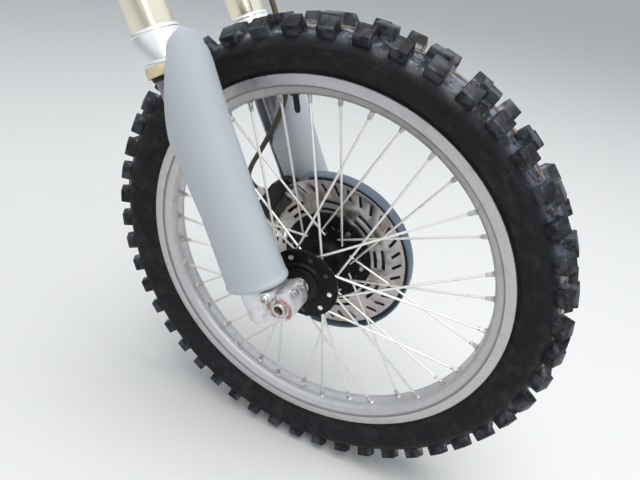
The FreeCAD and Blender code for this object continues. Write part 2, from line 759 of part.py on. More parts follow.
def hub():
    right_y, right_r = HUB_FLANGES["right"][:2]
    left_y, left_r = HUB_FLANGES["left"][:2]
    half = FLANGE_THICK / 2
    seat_y = DISC_MIDDLE_Y - DISC_THICK / 2
    bore = AXLE_R + RUNNING_FIT
    outline = (
        (bore, -HUB_END_Y + SEAL_DEPTH),
        (SEAL_R, -HUB_END_Y + SEAL_DEPTH),
        (SEAL_R, -HUB_END_Y),
        (HUB_BOSS_R, -HUB_END_Y),
        (HUB_BOSS_R, right_y - half),
        (right_r, right_y - half),
        (right_r, right_y + half),
        (HUB_BOSS_R, right_y + half),
        (HUB_BARREL_R, right_y + half + FLANGE_SLOPE),
        (HUB_BARREL_R, left_y - half - FLANGE_SLOPE),
        (HUB_BOSS_R, left_y - half),
        (left_r, left_y - half),
        (left_r, left_y + half),
        (CARRIER_NECK_R, left_y + half),
        (CARRIER_NECK_R, seat_y - CARRIER_THICK),
        (CARRIER_R, seat_y - CARRIER_THICK),
        (CARRIER_R, seat_y),
        (DISC_INNER_R - FIT, seat_y),
        (DISC_INNER_R - FIT, seat_y + DISC_THICK),
        (HUB_BOSS_R, seat_y + DISC_THICK),
        (HUB_BOSS_R, HUB_END_Y),
        (SEAL_R, HUB_END_Y),
        (SEAL_R, HUB_END_Y - SEAL_DEPTH),
        (bore, HUB_END_Y - SEAL_DEPTH),
    )
    return turned_profile(outline, Y_AXIS)


def hub_seal(side):
    start = Vector(0, side * (HUB_END_Y - SEAL_DEPTH + 1.5), 0)
    end = Vector(0, side * (HUB_END_Y + 0.8), 0)
    return ring(SEAL_R - FIT, SPACER_R + SLIDE_FIT, start, end)


def spoke_ends(name):
    """Hub and rim end of every spoke on one side, pair by pair."""
    flange_y, flange_r, start_r, first, spread = HUB_FLANGES[name]
    pairs = SPOKES_PER_SIDE // 2
    side = 1 if name == "left" else -1
    ends = []
    for index in range(pairs):
        middle = first + index * 360.0 / pairs
        for lead in (-1, 1):
            layer = SPOKE_LAYER if lead > 0 else 0.0
            hub_y = flange_y - side * (FLANGE_THICK / 2 + SPOKE_R + FIT + layer)
            rim_y = side * (SPOKE_RIM_Y - layer)
            hub_end = polar(start_r, middle - lead * spread, hub_y)
            rim_end = polar(RIM_INNER_R, middle + lead * SPOKE_RIM_SPREAD, rim_y)
            ends.append((hub_end, rim_end))
    return ends


def spokes(name):
    pieces = []
    for hub_end, rim_end in spoke_ends(name):
        along = rim_end - hub_end
        along.normalize()
        pieces.append(prism(SPOKE_FACES, SPOKE_R, hub_end, rim_end - along * NIPPLE_LENGTH))
    return Part.makeCompound(pieces)


def spoke_nipples():
    pieces = []
    for name, side in SIDES:
        for hub_end, rim_end in spoke_ends(name):
            along = rim_end - hub_end
            along.normalize()
            pieces.append(prism(NIPPLE_FACES, NIPPLE_R, rim_end - along * NIPPLE_LENGTH,
                                rim_end - along * NIPPLE_GAP))
    return Part.makeCompound(pieces)


def straight_slot(angle):
    """One of the outer slots, leaning from the radius."""
    block = Part.makeBox(OUTER_SLOT_LENGTH, DISC_THICK, OUTER_SLOT_WIDTH,
                         Vector(-OUTER_SLOT_LENGTH / 2, DISC_MIDDLE_Y - DISC_THICK / 2,
                                -OUTER_SLOT_WIDTH / 2))
    block.rotate(Vector(0, 0, 0), Y_AXIS, -OUTER_SLOT_TURN)
    block.translate(Vector(OUTER_SLOT_R, 0, 0))
    return around(block, angle)


def arc_slot(radius, angle):
    """One of the inner slots, which follow the disc round."""
    start = polar(radius, angle - ARC_OPENING / 2, DISC_MIDDLE_Y - DISC_THICK / 2)
    radial = Vector(start.x, 0, start.z)
    radial.normalize()
    low = start - radial * (ARC_WIDTH / 2)
    high = start + radial * (ARC_WIDTH / 2)
    end = Part.makeLine(low, high)
    strip = end.revolve(Vector(0, 0, 0), Y_AXIS, -ARC_OPENING)
    return strip.extrude(Y_AXIS * DISC_THICK)


def brake_disc():
    low = Vector(0, DISC_MIDDLE_Y - DISC_THICK / 2, 0)
    high = Vector(0, DISC_MIDDLE_Y + DISC_THICK / 2, 0)
    plate = ring(DISC_R, DISC_INNER_R, low, high)
    cuts = [straight_slot(index * 360.0 / OUTER_SLOTS) for index in range(OUTER_SLOTS)]
    for index in range(ARC_GROUPS):
        for radius in ARC_RADII:
            cuts.append(arc_slot(radius, ARC_START + index * 360.0 / ARC_GROUPS))
    for index in range(DISC_BOLTS):
        place = polar(DISC_BOLT_CIRCLE, index * 360.0 / DISC_BOLTS, 0)
        cuts.append(rod(DISC_BOLT_R + FIT, place + low, place + high))
    return plate.cut(cuts)


def disc_bolts():
    face = DISC_MIDDLE_Y + DISC_THICK / 2
    pieces = []
    for index in range(DISC_BOLTS):
        place = polar(DISC_BOLT_CIRCLE, index * 360.0 / DISC_BOLTS, 0)
        shank = rod(DISC_BOLT_R, place + Y_AXIS * (face - DISC_THICK), place + Y_AXIS * face)
        head = rod(DISC_HEAD_R, place + Y_AXIS * face, place + Y_AXIS * (face + DISC_HEAD_HEIGHT))
        pieces.append(shank.fuse(head))
    return Part.makeCompound(pieces)


def tube_valve():
    """Nut against the rim, threaded stem and tapered cap, pointing at the axle."""
    outline = (
        (0, 0),
        (VALVE_NUT_R, 0),
        (VALVE_NUT_R, VALVE_NUT_HEIGHT),
        (VALVE_R, VALVE_NUT_HEIGHT),
        (VALVE_R, VALVE_LENGTH - VALVE_TIP),
        (VALVE_TIP_R, VALVE_LENGTH),
        (0, VALVE_LENGTH),
    )
    valve = turned_profile(outline, Z_AXIS)
    foot = polar(RIM_INNER_R - FIT, VALVE_ANGLE, 0)
    valve.Placement = FreeCAD.Placement(foot, FreeCAD.Rotation(Z_AXIS, -foot))
    return valve


# Brake on the left leg, drawn around the Y axis with the leg's direction up
def disc_cover():
    seat_y = LUG_INNER_Y - FIT
    outline = (
        (COVER_HOLE_R, seat_y - COVER_WALL),
        (COVER_FLAT_R, seat_y - COVER_WALL),
        (COVER_NECK_R, COVER_NECK_Y - COVER_WALL),
        (COVER_BEND_R, COVER_PLATE_Y),
        (COVER_R - COVER_WALL, COVER_PLATE_Y),
        (COVER_R - COVER_WALL, COVER_RIM_Y),
        (COVER_R, COVER_RIM_Y),
        (COVER_R, COVER_PLATE_Y + COVER_WALL),
        (COVER_BEND_R + COVER_WALL, COVER_PLATE_Y + COVER_WALL),
        (COVER_NECK_R + COVER_WALL, COVER_NECK_Y),
        (COVER_FLAT_R + COVER_WALL, seat_y),
        (COVER_HOLE_R, seat_y),
    )
    dish = turned_profile(outline, Y_AXIS)
    reach = 2 * COVER_R
    start = 90 + CALIPER_ANGLE - COVER_GAP_HALF_ANGLE
    end = 90 + CALIPER_ANGLE + COVER_GAP_HALF_ANGLE
    corners = [Vector(0, 0, 0), polar(reach, start, 0), polar(reach, (start + end) / 2, 0),
               polar(reach, end, 0)]
    gap = Part.Face(Part.makePolygon(corners + corners[:1])).extrude(Y_AXIS * 2 * COVER_PLATE_Y)
    cover = dish.cut(gap)
    cover.translate(upright(AXLE_X, 0, 0))
    return cover


def caliper_box(length, inner_r, outer_r, low_y, high_y):
    """A block over the rim of the disc, at the caliper's place."""
    block = Part.makeBox(outer_r - inner_r, high_y - low_y, length,
                         Vector(inner_r, low_y, -length / 2))
    block.rotate(Vector(0, 0, 0), Y_AXIS, -(90 + CALIPER_ANGLE))
    block.translate(upright(AXLE_X, 0, 0))
    return block


def brake_caliper():
    """A body over the disc's edge, open below, with a shorter wall on the wheel's side."""
    body = caliper_box(CALIPER_LENGTH, CALIPER_INNER_R, CALIPER_OUTER_R,
                       CALIPER_INNER_Y, CALIPER_OUTER_Y)
    slot_box = caliper_box(CALIPER_LENGTH, CALIPER_INNER_R, DISC_R + CALIPER_DISC_GAP,
                           DISC_MIDDLE_Y - CALIPER_SLOT_HALF, DISC_MIDDLE_Y + CALIPER_SLOT_HALF)
    wall_box = caliper_box(CALIPER_LENGTH, CALIPER_INNER_R, CALIPER_WALL_R,
                           CALIPER_INNER_Y, DISC_MIDDLE_Y)
    return body.cut([slot_box, wall_box] + caliper_corners())


def caliper_corners():
    """Wedges that take the body's two outer corners off."""
    half = CALIPER_LENGTH / 2
    wedges = []
    for end in (-1, 1):
        corners = [
            Vector(CALIPER_OUTER_R, 0, end * half),
            Vector(CALIPER_OUTER_R - CALIPER_CORNER, 0, end * half),
            Vector(CALIPER_OUTER_R, 0, end * (half - CALIPER_CORNER)),
        ]
        wedge = Part.Face(Part.makePolygon(corners + corners[:1])).extrude(Y_AXIS * LEG_SPACING)
        wedge = around(wedge, 90 + CALIPER_ANGLE)
        wedge.translate(upright(AXLE_X, 0, 0))
        wedges.append(wedge)
    return wedges


def brake_pads():
    pads = []
    middle = PAD_MIDDLE_R
    for side in (-1, 1):
        near = DISC_MIDDLE_Y + side * (DISC_THICK / 2 + PAD_GAP)
        far = near + side * PAD_THICK
        pads.append(caliper_box(PAD_LENGTH, middle - PAD_HEIGHT / 2, middle + PAD_HEIGHT / 2,
                                min(near, far), max(near, far)))
    return Part.makeCompound(pads)


def caliper_bracket():
    return caliper_box(CALIPER_LENGTH, BRACKET_INNER_R, CALIPER_INNER_R + BRACKET_LAP,
                       CALIPER_OUTER_Y + FIT, LUG_INNER_Y - FIT)


# Hose
def hose_path(points):
    """Straight runs joined by tangent arcs, as large as the runs allow."""
    edges = []
    start = points[0]
    for before, corner, after in zip(points, points[1:], points[2:]):
        back = before - corner
        ahead = after - corner
        turn = math.pi - back.getAngle(ahead)
        trim = HOSE_BEND_SHARE * min(back.Length, ahead.Length)
        radius = trim / math.tan(turn / 2)
        back.normalize()
        ahead.normalize()
        enter = corner + back * trim
        leave = corner + ahead * trim
        middle = back + ahead
        middle.normalize()
        depth = radius / math.cos(turn / 2) - radius
        edges.append(Part.makeLine(start, enter))
        edges.append(Part.Arc(enter, corner + middle * depth, leave).toShape())
        start = leave
    edges.append(Part.makeLine(start, points[-1]))
    return Part.Wire(edges)


def brake_hose():
    points = [upright(LEG_X + ahead, y, rise) for ahead, rise, y in HOSE_POINTS]
    section = Part.Wire(Part.makeCircle(HOSE_R, points[0], points[1] - points[0]))
    return hose_path(points).makePipeShell([section], True, False, 2)


def hose_place(run):
    """The middle of one of the hose's runs, and its direction."""
    low, high = [upright(LEG_X + ahead, y, rise) for ahead, rise, y in HOSE_POINTS[run:run + 2]]
    along = high - low
    along.normalize()
    return (low + high) * 0.5, along


def clip_arm(start, end):
    """A level bar from the hose towards its carrier."""
    across = Vector(end.x - start.x, end.y - start.y, 0)
    arm = Part.makeBox(across.Length, CLIP_WIDTH, CLIP_WIDTH,
                       Vector(0, -CLIP_WIDTH / 2, -CLIP_WIDTH / 2))
    arm.rotate(Vector(0, 0, 0), Z_AXIS, math.degrees(math.atan2(across.y, across.x)))
    arm.translate(start)
    return arm


def guard_front(z):
    """Middle of the guard's round front end at a height."""
    rise = z - level(0)
    for low, high in zip(GUARD_ROWS, GUARD_ROWS[1:]):
        if rise <= high[0]:
            break
    share = (rise - low[0]) / (high[0] - low[0])
    ahead = low[1] + share * (high[1] - low[1])
    half_depth = low[2] + share * (high[2] - low[2])
    return Vector(LEG_X + ahead + half_depth - GUARD_END_R, GUARD_CENTRE_Y, z)


def hose_clips():
    """Eyes round the hose, each with the arm that carries it."""
    clips = []
    for carrier, run in CLIP_RUNS:
        place, along = hose_place(run)
        if carrier == "guard":
            middle = guard_front(place.z)
            outward = place - middle
            outward.normalize()
            arm = clip_arm(place, middle + outward * (GUARD_END_R + 2 * SLIDE_FIT))
        elif carrier == "clamp":
            arm = clip_arm(place, Vector(LEG_X + CLAMP_BRIDGE_HALF + FIT, place.y, place.z))
        else:
            tube = Vector(LEG_X, LEG_Y, place.z)
            low = tube - Z_AXIS * (CLIP_WIDTH / 2)
            high = tube + Z_AXIS * (CLIP_WIDTH / 2)
            band = rod(UPPER_TUBE_R + CLIP_BAND_WALL, low, high)
            arm = clip_arm(place, tube).fuse(band).cut(rod(UPPER_TUBE_R + FIT, low, high))
        foot = place - along * (CLIP_WIDTH / 2)
        head = place + along * (CLIP_WIDTH / 2)
        eye = rod(HOSE_R + CLIP_WALL, foot, head)
        hole = rod(HOSE_R + FIT, foot - along * CLIP_WIDTH, head + along * CLIP_WIDTH)
        clips.append(eye.fuse(arm).cut(hole))
    return Part.makeCompound(clips)


def hose_fittings():
    """A banjo eye and crimped sleeve at each end of the hose."""
    points = [upright(LEG_X + ahead, y, rise) for ahead, rise, y in HOSE_POINTS]
    fittings = []
    for end, beside in ((points[0], points[1]), (points[-1], points[-2])):
        along = beside - end
        along.normalize()
        middle = end - along * (BANJO_R + BANJO_GAP)
        eye = rod(BANJO_R, middle - Y_AXIS * BANJO_THICK / 2, middle + Y_AXIS * BANJO_THICK / 2)
        sleeve = rod(SLEEVE_R, end, middle)
        fittings.append(eye.fuse(sleeve))
    return Part.makeCompound(fittings)


def clamp_bolts():
    """Two pinch bolts through the ear behind each tube."""
    bolts = []
    for name, side in SIDES:
        across = Y_AXIS * side
        for seat in clamp_bolt_seats(side):
            shank = rod(CLAMP_BOLT_R, seat, seat + across * 2 * CLAMP_EAR)
            head = rod(CLAMP_HEAD_R, seat - across * CLAMP_HEAD_HEIGHT, seat)
            bolts.append(shank.fuse(head))
    return Part.makeCompound(bolts)


def guard_screws(side):
    """The button-head screw in a lug's pad."""
    seat = Vector(LEG_X + GUARD_SCREW_AHEAD, side * LUG_PAD_Y, level(GUARD_SCREW_RISE))
    out = Y_AXIS * side
    shank = rod(GUARD_SCREW_R, seat - out * GUARD_SCREW_LENGTH, seat)
    head = rod(GUARD_SCREW_HEAD_R, seat, seat + out * GUARD_SCREW_HEAD)
    return shank.fuse(head)


def build():
    os.makedirs("parts", exist_ok=True)
    for name, side in SIDES:
        leg_y = side * LEG_Y
        keep("outer_tube_" + name, lean(outer_tube(leg_y)))
        keep("tube_cap_" + name, lean(tube_cap(leg_y)))
        keep("inner_tube_" + name, lean(inner_tube(leg_y)))
        keep("tube_collar_" + name, lean(tube_collar(leg_y)))
        keep("guide_ring_" + name, lean(guide_ring(leg_y)))
        keep("dust_wiper_" + name, lean(dust_wiper(leg_y)))
        keep("axle_lug_" + name, lean(axle_lug(side)))
        keep("pinch_bolts_" + name, lean(pinch_bolts(side)))
        keep("fork_guard_" + name, lean(fork_guard(side)))
        keep("guard_screws_" + name, lean(guard_screws(side)))
        keep("wheel_spacer_" + name, lean(wheel_spacer(side)))
        keep("hub_seal_" + name, at_axle(hub_seal(side)))
        keep("spokes_" + name, at_axle(spokes(name)))
    keep("lower_clamp", lean(lower_clamp()))
    keep("steering_stem", lean(steering_stem()))
    keep("front_axle", lean(front_axle()))
    keep("axle_nut", lean(axle_nut()))
    keep("disc_cover", lean(disc_cover()))
    keep("brake_caliper", lean(brake_caliper()))
    keep("brake_pads", lean(brake_pads()))
    keep("caliper_bracket", lean(caliper_bracket()))
    keep("clamp_bolts", lean(clamp_bolts()))
    keep("brake_hose", lean(brake_hose()))
    keep("hose_clips", lean(hose_clips()))
    keep("hose_fittings", lean(hose_fittings()))
    keep("rim", at_axle(rim()))
    keep("tyre", at_axle(tyre()))
    keep("hub", at_axle(hub()))
    keep("spoke_nipples", at_axle(spoke_nipples()))
    keep("brake_disc", at_axle(brake_disc()))
    keep("disc_bolts", at_axle(disc_bolts()))
    keep("tube_valve", at_axle(tube_valve()))


build()
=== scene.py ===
"""Motorcycle front fork with its spoked wheel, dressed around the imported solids.

Run as a script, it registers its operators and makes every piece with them.
Lengths in the tables are millimetres in the frame of the piece: a leg frame has X ahead, Y to
the rider's left and Z up the tube from the height of the axle, and the wheel frame has Y along
the axle. Matrices take both to the row frame in metres.
"""

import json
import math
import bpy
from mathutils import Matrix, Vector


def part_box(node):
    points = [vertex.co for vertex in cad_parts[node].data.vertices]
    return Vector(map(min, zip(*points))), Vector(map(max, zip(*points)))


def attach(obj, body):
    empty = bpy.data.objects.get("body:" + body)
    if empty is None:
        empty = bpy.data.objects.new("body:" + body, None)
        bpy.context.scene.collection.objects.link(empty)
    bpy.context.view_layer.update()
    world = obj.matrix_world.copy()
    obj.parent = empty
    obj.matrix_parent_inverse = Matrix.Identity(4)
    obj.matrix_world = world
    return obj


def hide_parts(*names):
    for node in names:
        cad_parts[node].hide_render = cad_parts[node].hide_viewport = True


bl_info = {
    "name": "Motorcycle Front Fork",
    "version": (1, 0, 0),
    "blender": (4, 5, 0),
    "location": "View3D > Sidebar > Front Fork",
    "description": "Makes a motorcycle front fork with its wheel around the packed model",
    "category": "Add Mesh",
}

import bmesh
import bpy
from bpy.props import FloatProperty, FloatVectorProperty, IntProperty, PointerProperty
from bpy.types import Operator, Panel, PropertyGroup
from mathutils import Matrix, Vector

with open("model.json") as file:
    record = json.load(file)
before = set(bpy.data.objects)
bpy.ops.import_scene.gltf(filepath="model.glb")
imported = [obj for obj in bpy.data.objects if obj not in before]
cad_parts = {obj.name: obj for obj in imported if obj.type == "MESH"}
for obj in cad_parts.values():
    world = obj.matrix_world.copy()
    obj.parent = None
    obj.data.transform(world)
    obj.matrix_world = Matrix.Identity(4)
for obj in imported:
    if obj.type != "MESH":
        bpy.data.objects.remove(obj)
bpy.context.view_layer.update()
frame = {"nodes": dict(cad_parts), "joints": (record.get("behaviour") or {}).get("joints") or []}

MM = 0.001
SIDES = (("right", -1), ("left", 1))
RAKE = math.radians(27.0)
LEG_AHEAD = 24.5
LEG_ASIDE = 100.0
AXLE_DROP = 702.0
AXLE = Vector(frame["joints"][0]["pos_m"])
FORK = Matrix.Rotation(-RAKE, 4, "Y") @ Matrix.Scale(MM, 4)
WHEEL = Matrix.Translation(AXLE) @ Matrix.Scale(MM, 4)
TYRE_RADIUS = (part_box("tyre")[1].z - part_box("tyre")[0].z) / 2


# Sizes and colours that a user would change
def length(name, description, default):
    return FloatProperty(name=name, description=description, default=default, min=0.0,
                         unit="LENGTH", precision=4)


def colour(name, description, default):
    return FloatVectorProperty(name=name, description=description, default=default, size=3,
                               subtype="COLOR", min=0.0, max=1.0)


def power(name, description, default):
    return FloatProperty(name=name, description=description, default=default, min=0.0,
                         unit="POWER")


class StudioSettings(PropertyGroup):
    """Floor, light and camera."""
    floor_colour: colour("Floor", "Colour of the floor", (0.74, 0.74, 0.73))
    sky_colour: colour("Sky", "Colour of the light from all round", (0.90, 0.95, 1.0))
    sky_strength: FloatProperty(name="Sky strength", description="Light from all round",
                                default=0.55, min=0.0)
    key_power: power("Key power", "Power of the large soft lamp", 122.0)
    strip_power: power("Strip power", "Power of the tall strip lamp", 9.0)
    focal_length: FloatProperty(name="Focal length", description="Lens of the camera",
                                default=28.0, min=1.0, subtype="DISTANCE_CAMERA")


class WheelSettings(PropertyGroup):
    """Tyre, rim, spokes and hub."""
    rubber_colour: colour("Rubber", "Colour of the tyre", (0.0085, 0.0090, 0.0105))
    rim_colour: colour("Rim", "Colour of the rim's alloy", (0.53, 0.52, 0.53))
    hub_colour: colour("Hub", "Colour of the hub", (0.003, 0.003, 0.003))
    knob_rounding: length("Knob rounding", "Rounding of the tread blocks' edges", 0.0012)
    spoke_radius: length("Spoke radius", "Half the thickness of a spoke", 0.0018)
    tyre_steps: IntProperty(name="Tyre steps", description="Faces round the tyre", default=192,
                            min=48)
    rim_steps: IntProperty(name="Rim steps", description="Faces round the rim", default=240,
                           min=48)


class ForkSettings(PropertyGroup):
    """Tubes, collars, guards and lugs."""
    tube_colour: colour("Tubes", "Colour of the outer tubes", (0.86, 0.80, 0.64))
    guard_colour: colour("Guards", "Colour of the fork guards", (0.450, 0.483, 0.518))
    ring_colour: colour("Guide rings", "Colour of the rings under the collars",
                        (0.68, 0.60, 0.38))
    guard_wall: length("Guard wall", "Thickness of the guards", 0.0030)
    guard_rounding: length("Guard rounding", "Rounding of the guards' edges", 0.0008)
    lip_height: length("Lip height", "Height of the rolled lip at a guard's foot", 0.0065)


class BrakeSettings(PropertyGroup):
    """Disc, cover and hose."""
    disc_colour: colour("Disc", "Colour of the brake disc", (0.50, 0.465, 0.46))
    cover_colour: colour("Cover", "Colour of the disc cover", (0.115, 0.150, 0.200))
    hose_colour: colour("Hose", "Colour of the brake hose", (0.062, 0.050, 0.029))
    hose_radius: length("Hose radius", "Half the thickness of the hose", 0.0040)


# Materials
class Nodes:
    """A node tree whose nodes are made in one call each."""

    def __init__(self, tree):
        self.tree = tree

    def feed(self, socket, value):
        """Link a socket to another one, or give it a value of its own."""
        if isinstance(value, bpy.types.NodeSocket):
            self.tree.links.new(value, socket)
        else:
            socket.default_value = value

    def node(self, kind, inputs, **values):
        """The outputs of a new node, with its values set and its inputs fed."""
        made = self.tree.nodes.new("ShaderNode" + kind)
        for name, value in values.items():
            setattr(made, name, value)
        for name, value in inputs.items():
            self.feed(made.inputs[name], value)
        return made.outputs


class Finish(Nodes):
    """A material with the nodes that give one finish its colour, gloss and relief."""

    def __init__(self, name, colour, metal=0.0, centre=(0, 0, 0), turn=0.0, **sockets):
        self.material = bpy.data.materials.new(name)
        self.material.use_nodes = True
        super().__init__(self.material.node_tree)
        self.shader = self.tree.nodes["Principled BSDF"].inputs
        self.shader["Base Color"].default_value = (*colour, 1.0)
        self.shader["Metallic"].default_value = metal
        for socket, value in sockets.items():
            self.shader[socket.replace("_", " ")].default_value = value
        whole = self.node("TexCoord", {})["Object"]
        self.place = self.node("Mapping", {
            "Vector": whole, "Location": centre, "Rotation": (0.0, turn, 0.0),
        }, vector_type="TEXTURE")["Vector"]
        self.relief = None

    def stretched(self, scale):
        """The place, with its axes scaled, so that a pattern runs long one way."""
        return self.node("Mapping", {"Vector": self.place, "Scale": scale})["Vector"]

    def noise(self, scale, detail=3.0, roughness=0.55, vector=None):
        return self.node("TexNoise", {"Vector": vector or self.place, "Scale": scale,
                                      "Detail": detail, "Roughness": roughness})["Fac"]

    def math(self, operation, first, second=0.0):
        return self.node("Math", {0: first, 1: second}, operation=operation)["Value"]

    def times(self, first, second):
        return self.math("MULTIPLY", first, second)

    def band(self, value, low, high, out_low=0.0, out_high=1.0):
        """A value taken smoothly from one range to another."""
        return self.node("MapRange", {
            "Value": value, "From Min": low, "From Max": high, "To Min": out_low,
            "To Max": out_high,
        }, interpolation_type="SMOOTHSTEP")["Result"]

    def axis(self, name):
        """The place along one axis."""
        return self.node("SeparateXYZ", {"Vector": self.place})[name]

    def radius(self):
        """Distance from the Y axis through the centre."""
        square = self.math("ADD", self.math("POWER", self.axis("X"), 2.0),
                           self.math("POWER", self.axis("Z"), 2.0))
        return self.math("SQRT", square)

    def lines(self, value, scale):
        """Noise along one value only, such as the marks of a lathe."""
        return self.noise(scale, 4.0, 0.7, self.node("CombineXYZ", {"X": value})["Vector"])

    def tint(self, share, colour):
        """Mix another colour in by a share."""
        # The node's colours are its inputs 6 and 7 and its output 2
        socket = self.shader["Base Color"]
        first = socket.links[0].from_socket if socket.is_linked else socket.default_value
        mixed = self.node("Mix", {"Factor": share, 6: first, 7: (*colour, 1.0)},
                          data_type="RGBA")[2]
        self.feed(socket, mixed)
        return self

    def rough(self, value, low, high):
        """Roughness from low to high by a noise value."""
        self.feed(self.shader["Roughness"], self.band(value, 0.3, 0.7, low, high))
        return self

    def bump(self, height, distance, strength=1.0):
        """Relief by a height, on top of the relief so far."""
        inputs = {"Height": height, "Distance": distance, "Strength": strength}
        if self.relief:
            inputs["Normal"] = self.relief
        self.relief = self.node("Bump", inputs)["Normal"]
        self.feed(self.shader["Normal"], self.relief)
        return self

    def stain(self, colour, scale, low, high, share, detail=4.0):
        """Tint by noise, up to a share, as the noise goes from low to high."""
        return self.tint(self.band(self.noise(scale, detail), low, high, 0.0, share), colour)

    def gloss(self, scale, low, high, detail=4.0):
        """Roughness from low to high by noise."""
        return self.rough(self.noise(scale, detail), low, high)

    def grain(self, scale, distance, strength=1.0, detail=3.0):
        """Relief by noise."""
        return self.bump(self.noise(scale, detail), distance, strength)

    def drops(self, scale, share):
        """Round drops of water on a share of the cells of a pattern."""
        cells = self.node("TexVoronoi", {"Vector": self.place, "Scale": scale})
        number = self.node("SeparateColor", {"Color": cells["Color"]})["Red"]
        chosen = self.band(number, 1.0 - share, 1.02 - share)
        dome = self.band(cells["Distance"], 0.12, 0.30, 1.0, 0.0)
        return self.times(chosen, dome)


def darker(colour, share):
    return tuple(part * share for part in colour)


def tyre_rubber(settings):
    look = Finish("tyre_rubber", settings.rubber_colour, centre=AXLE, Specular_IOR_Level=0.16,
                  Coat_Roughness=0.18)
    # Wet patches lie between the blocks, near the tread's middle: they take the coat, and a
    # painted bluish sheen of reflected sky as their tint
    radius = look.radius()
    valley = look.times(look.band(radius, 0.32, 0.33),
                        look.band(radius, 0.3368, 0.339, 1, 0.35))
    inward = look.band(look.math("ABSOLUTE", look.axis("Y")), 0.026, 0.036, 1, 0.35)
    wet_and_sheen = look.times(look.band(look.noise(44, 6, 0.7), 0.44, 0.56), look.times(valley, inward))
    look.stain((0.026, 0.018, 0.014), 26, 0.5, 0.66, 0.5)
    look.tint(look.band(look.noise(150, 5, 0.7), 0.54, 0.68, 0, 0.55), (0.026, 0.029, 0.04))
    # Water drops on the rubber, with their glints painted in as lighter dots
    look.tint(look.times(look.drops(210, 0.14), 0.35), (0.06, 0.064, 0.078))
    # Painted sheen: the wet patches are tinted bluish as though they mirrored the sky
    look.tint(look.times(wet_and_sheen, 0.9), (0.098, 0.108, 0.142))
    damp = look.band(look.noise(48, 5, 0.65), 0.5, 0.62, 0, 0.2)
    look.feed(look.shader["Coat Weight"], look.math("MAXIMUM", wet_and_sheen, damp))
    return look.gloss(60, 0.44, 0.62).grain(900, 0.00012, 0.6, 2).grain(120, 0.0008, 0.6, 4)


def mould_line():
    look = Finish("mould_line", (0.4, 0.25, 0.115), centre=AXLE, Roughness=0.6)
    return look.stain((0.14, 0.105, 0.085), 60, 0.4, 0.6, 1, 3).grain(600, 0.0002)


def rim_alloy(settings):
    look = Finish("rim_alloy", settings.rim_colour, 1, AXLE)
    look.stain(darker(settings.rim_colour, 0.62), 55, 0.5, 0.75, 0.35, 5)
    look.stain((0.34, 0.32, 0.31), 420, 0.66, 0.74, 0.3, 2)
    # Painted shade darkens the step beside the lip
    radius = look.radius()
    step_shade = look.times(look.band(radius, 0.2652, 0.2668, 0, 0.6),
                      look.band(radius, 0.2682, 0.2688, 1, 0))
    look.tint(step_shade, (0.15, 0.145, 0.14)).gloss(130, 0.36, 0.5)
    look.bump(look.lines(radius, 2600), 0.00005, 0.55)
    look.bump(look.lines(look.axis("Y"), 1500), 0.00004, 0.45)
    return look.bump(look.drops(240, 0.16), 0.0004, 0.6)


def hub_black(settings):
    look = Finish("hub_black", settings.hub_colour, centre=AXLE, Specular_IOR_Level=0.16)
    # The flanges' edges are worn bright in places
    radius = look.radius()
    worn = look.times(look.band(radius, 0.0534, 0.0541),
                      look.band(look.noise(200, 4), 0.54, 0.66))
    close = look.times(worn, look.band(radius, 0.0566, 0.057, 1, 0))
    look.tint(close, (0.2, 0.19, 0.18)).stain((0.012, 0.01, 0.009), 60, 0.5, 0.72, 0.5)
    return look.gloss(180, 0.38, 0.62).grain(700, 0.0001, 0.6)


def spoke_steel():
    look = Finish("spoke_steel", (0.86, 0.85, 0.8), 1, AXLE)
    return look.stain((0.45, 0.42, 0.37), 110, 0.56, 0.76, 0.4).gloss(260, 0.28, 0.46)


def dirty_steel():
    # Painted shade: the spoke heads in shade get this near-black steel
    look = Finish("dirty_steel", (0.035, 0.032, 0.029), 0.4, AXLE)
    return look.stain((0.2, 0.19, 0.17), 500, 0.56, 0.66, 0.5, 3).gloss(260, 0.4, 0.6)


def zinc_plate():
    look = Finish("zinc_plate", (0.56, 0.55, 0.52), 1)
    look.stain((0.27, 0.235, 0.19), 260, 0.5, 0.7, 0.7, 5)
    return look.gloss(420, 0.24, 0.5).grain(1300, 0.00006, 0.7, 2)


def disc_steel(settings):
    look = Finish("disc_steel", settings.disc_colour, 1, AXLE)
    radius = look.radius()
    look.stain((0.24, 0.165, 0.13), 46, 0.44, 0.7, 0.6, 5)
    look.tint(look.band(look.lines(radius, 900), 0.52, 0.66, 0, 0.35), (0.52, 0.49, 0.47))
    look.rough(look.lines(radius, 1500), 0.26, 0.46)
    return look.bump(look.lines(radius, 3200), 0.00004, 0.8)


def cover_plastic(settings):
    look = Finish("cover_plastic", settings.cover_colour, centre=AXLE)
    look.stain((0.15, 0.15, 0.14), 30, 0.48, 0.74, 0.35, 5).gloss(70, 0.34, 0.56)
    return look.grain(1500, 0.00006, 0.6, 2).bump(look.drops(230, 0.12), 0.0004, 0.5)


def guard_plastic(settings):
    look = Finish("guard_plastic", settings.guard_colour, turn=-RAKE, Specular_IOR_Level=0.45)
    streaks = look.noise(40, 4, 0.6, look.stretched((1, 1, 0.12)))
    look.tint(look.band(streaks, 0.45, 0.75, 0, 0.16), darker(settings.guard_colour, 0.84))
    look.stain((0.23, 0.23, 0.22), 480, 0.71, 0.77, 0.22, 2)
    return look.gloss(60, 0.34, 0.48, 5).grain(2100, 0.00004, 0.6, 2)


def tube_anodising(settings):
    look = Finish("tube_anodising", settings.tube_colour, 1, turn=-RAKE)
    look.stain(darker(settings.tube_colour, 0.84), 9, 0.42, 0.7, 0.25, 3)
    return look.rough(look.lines(look.axis("Z"), 400), 0.17, 0.26)


def polished_alloy():
    look = Finish("polished_alloy", (0.84, 0.84, 0.83), 1, turn=-RAKE)
    look.stain((0.62, 0.61, 0.58), 30, 0.56, 0.78, 0.15, 3)
    return look.rough(look.lines(look.axis("Z"), 130), 0.24, 0.28)


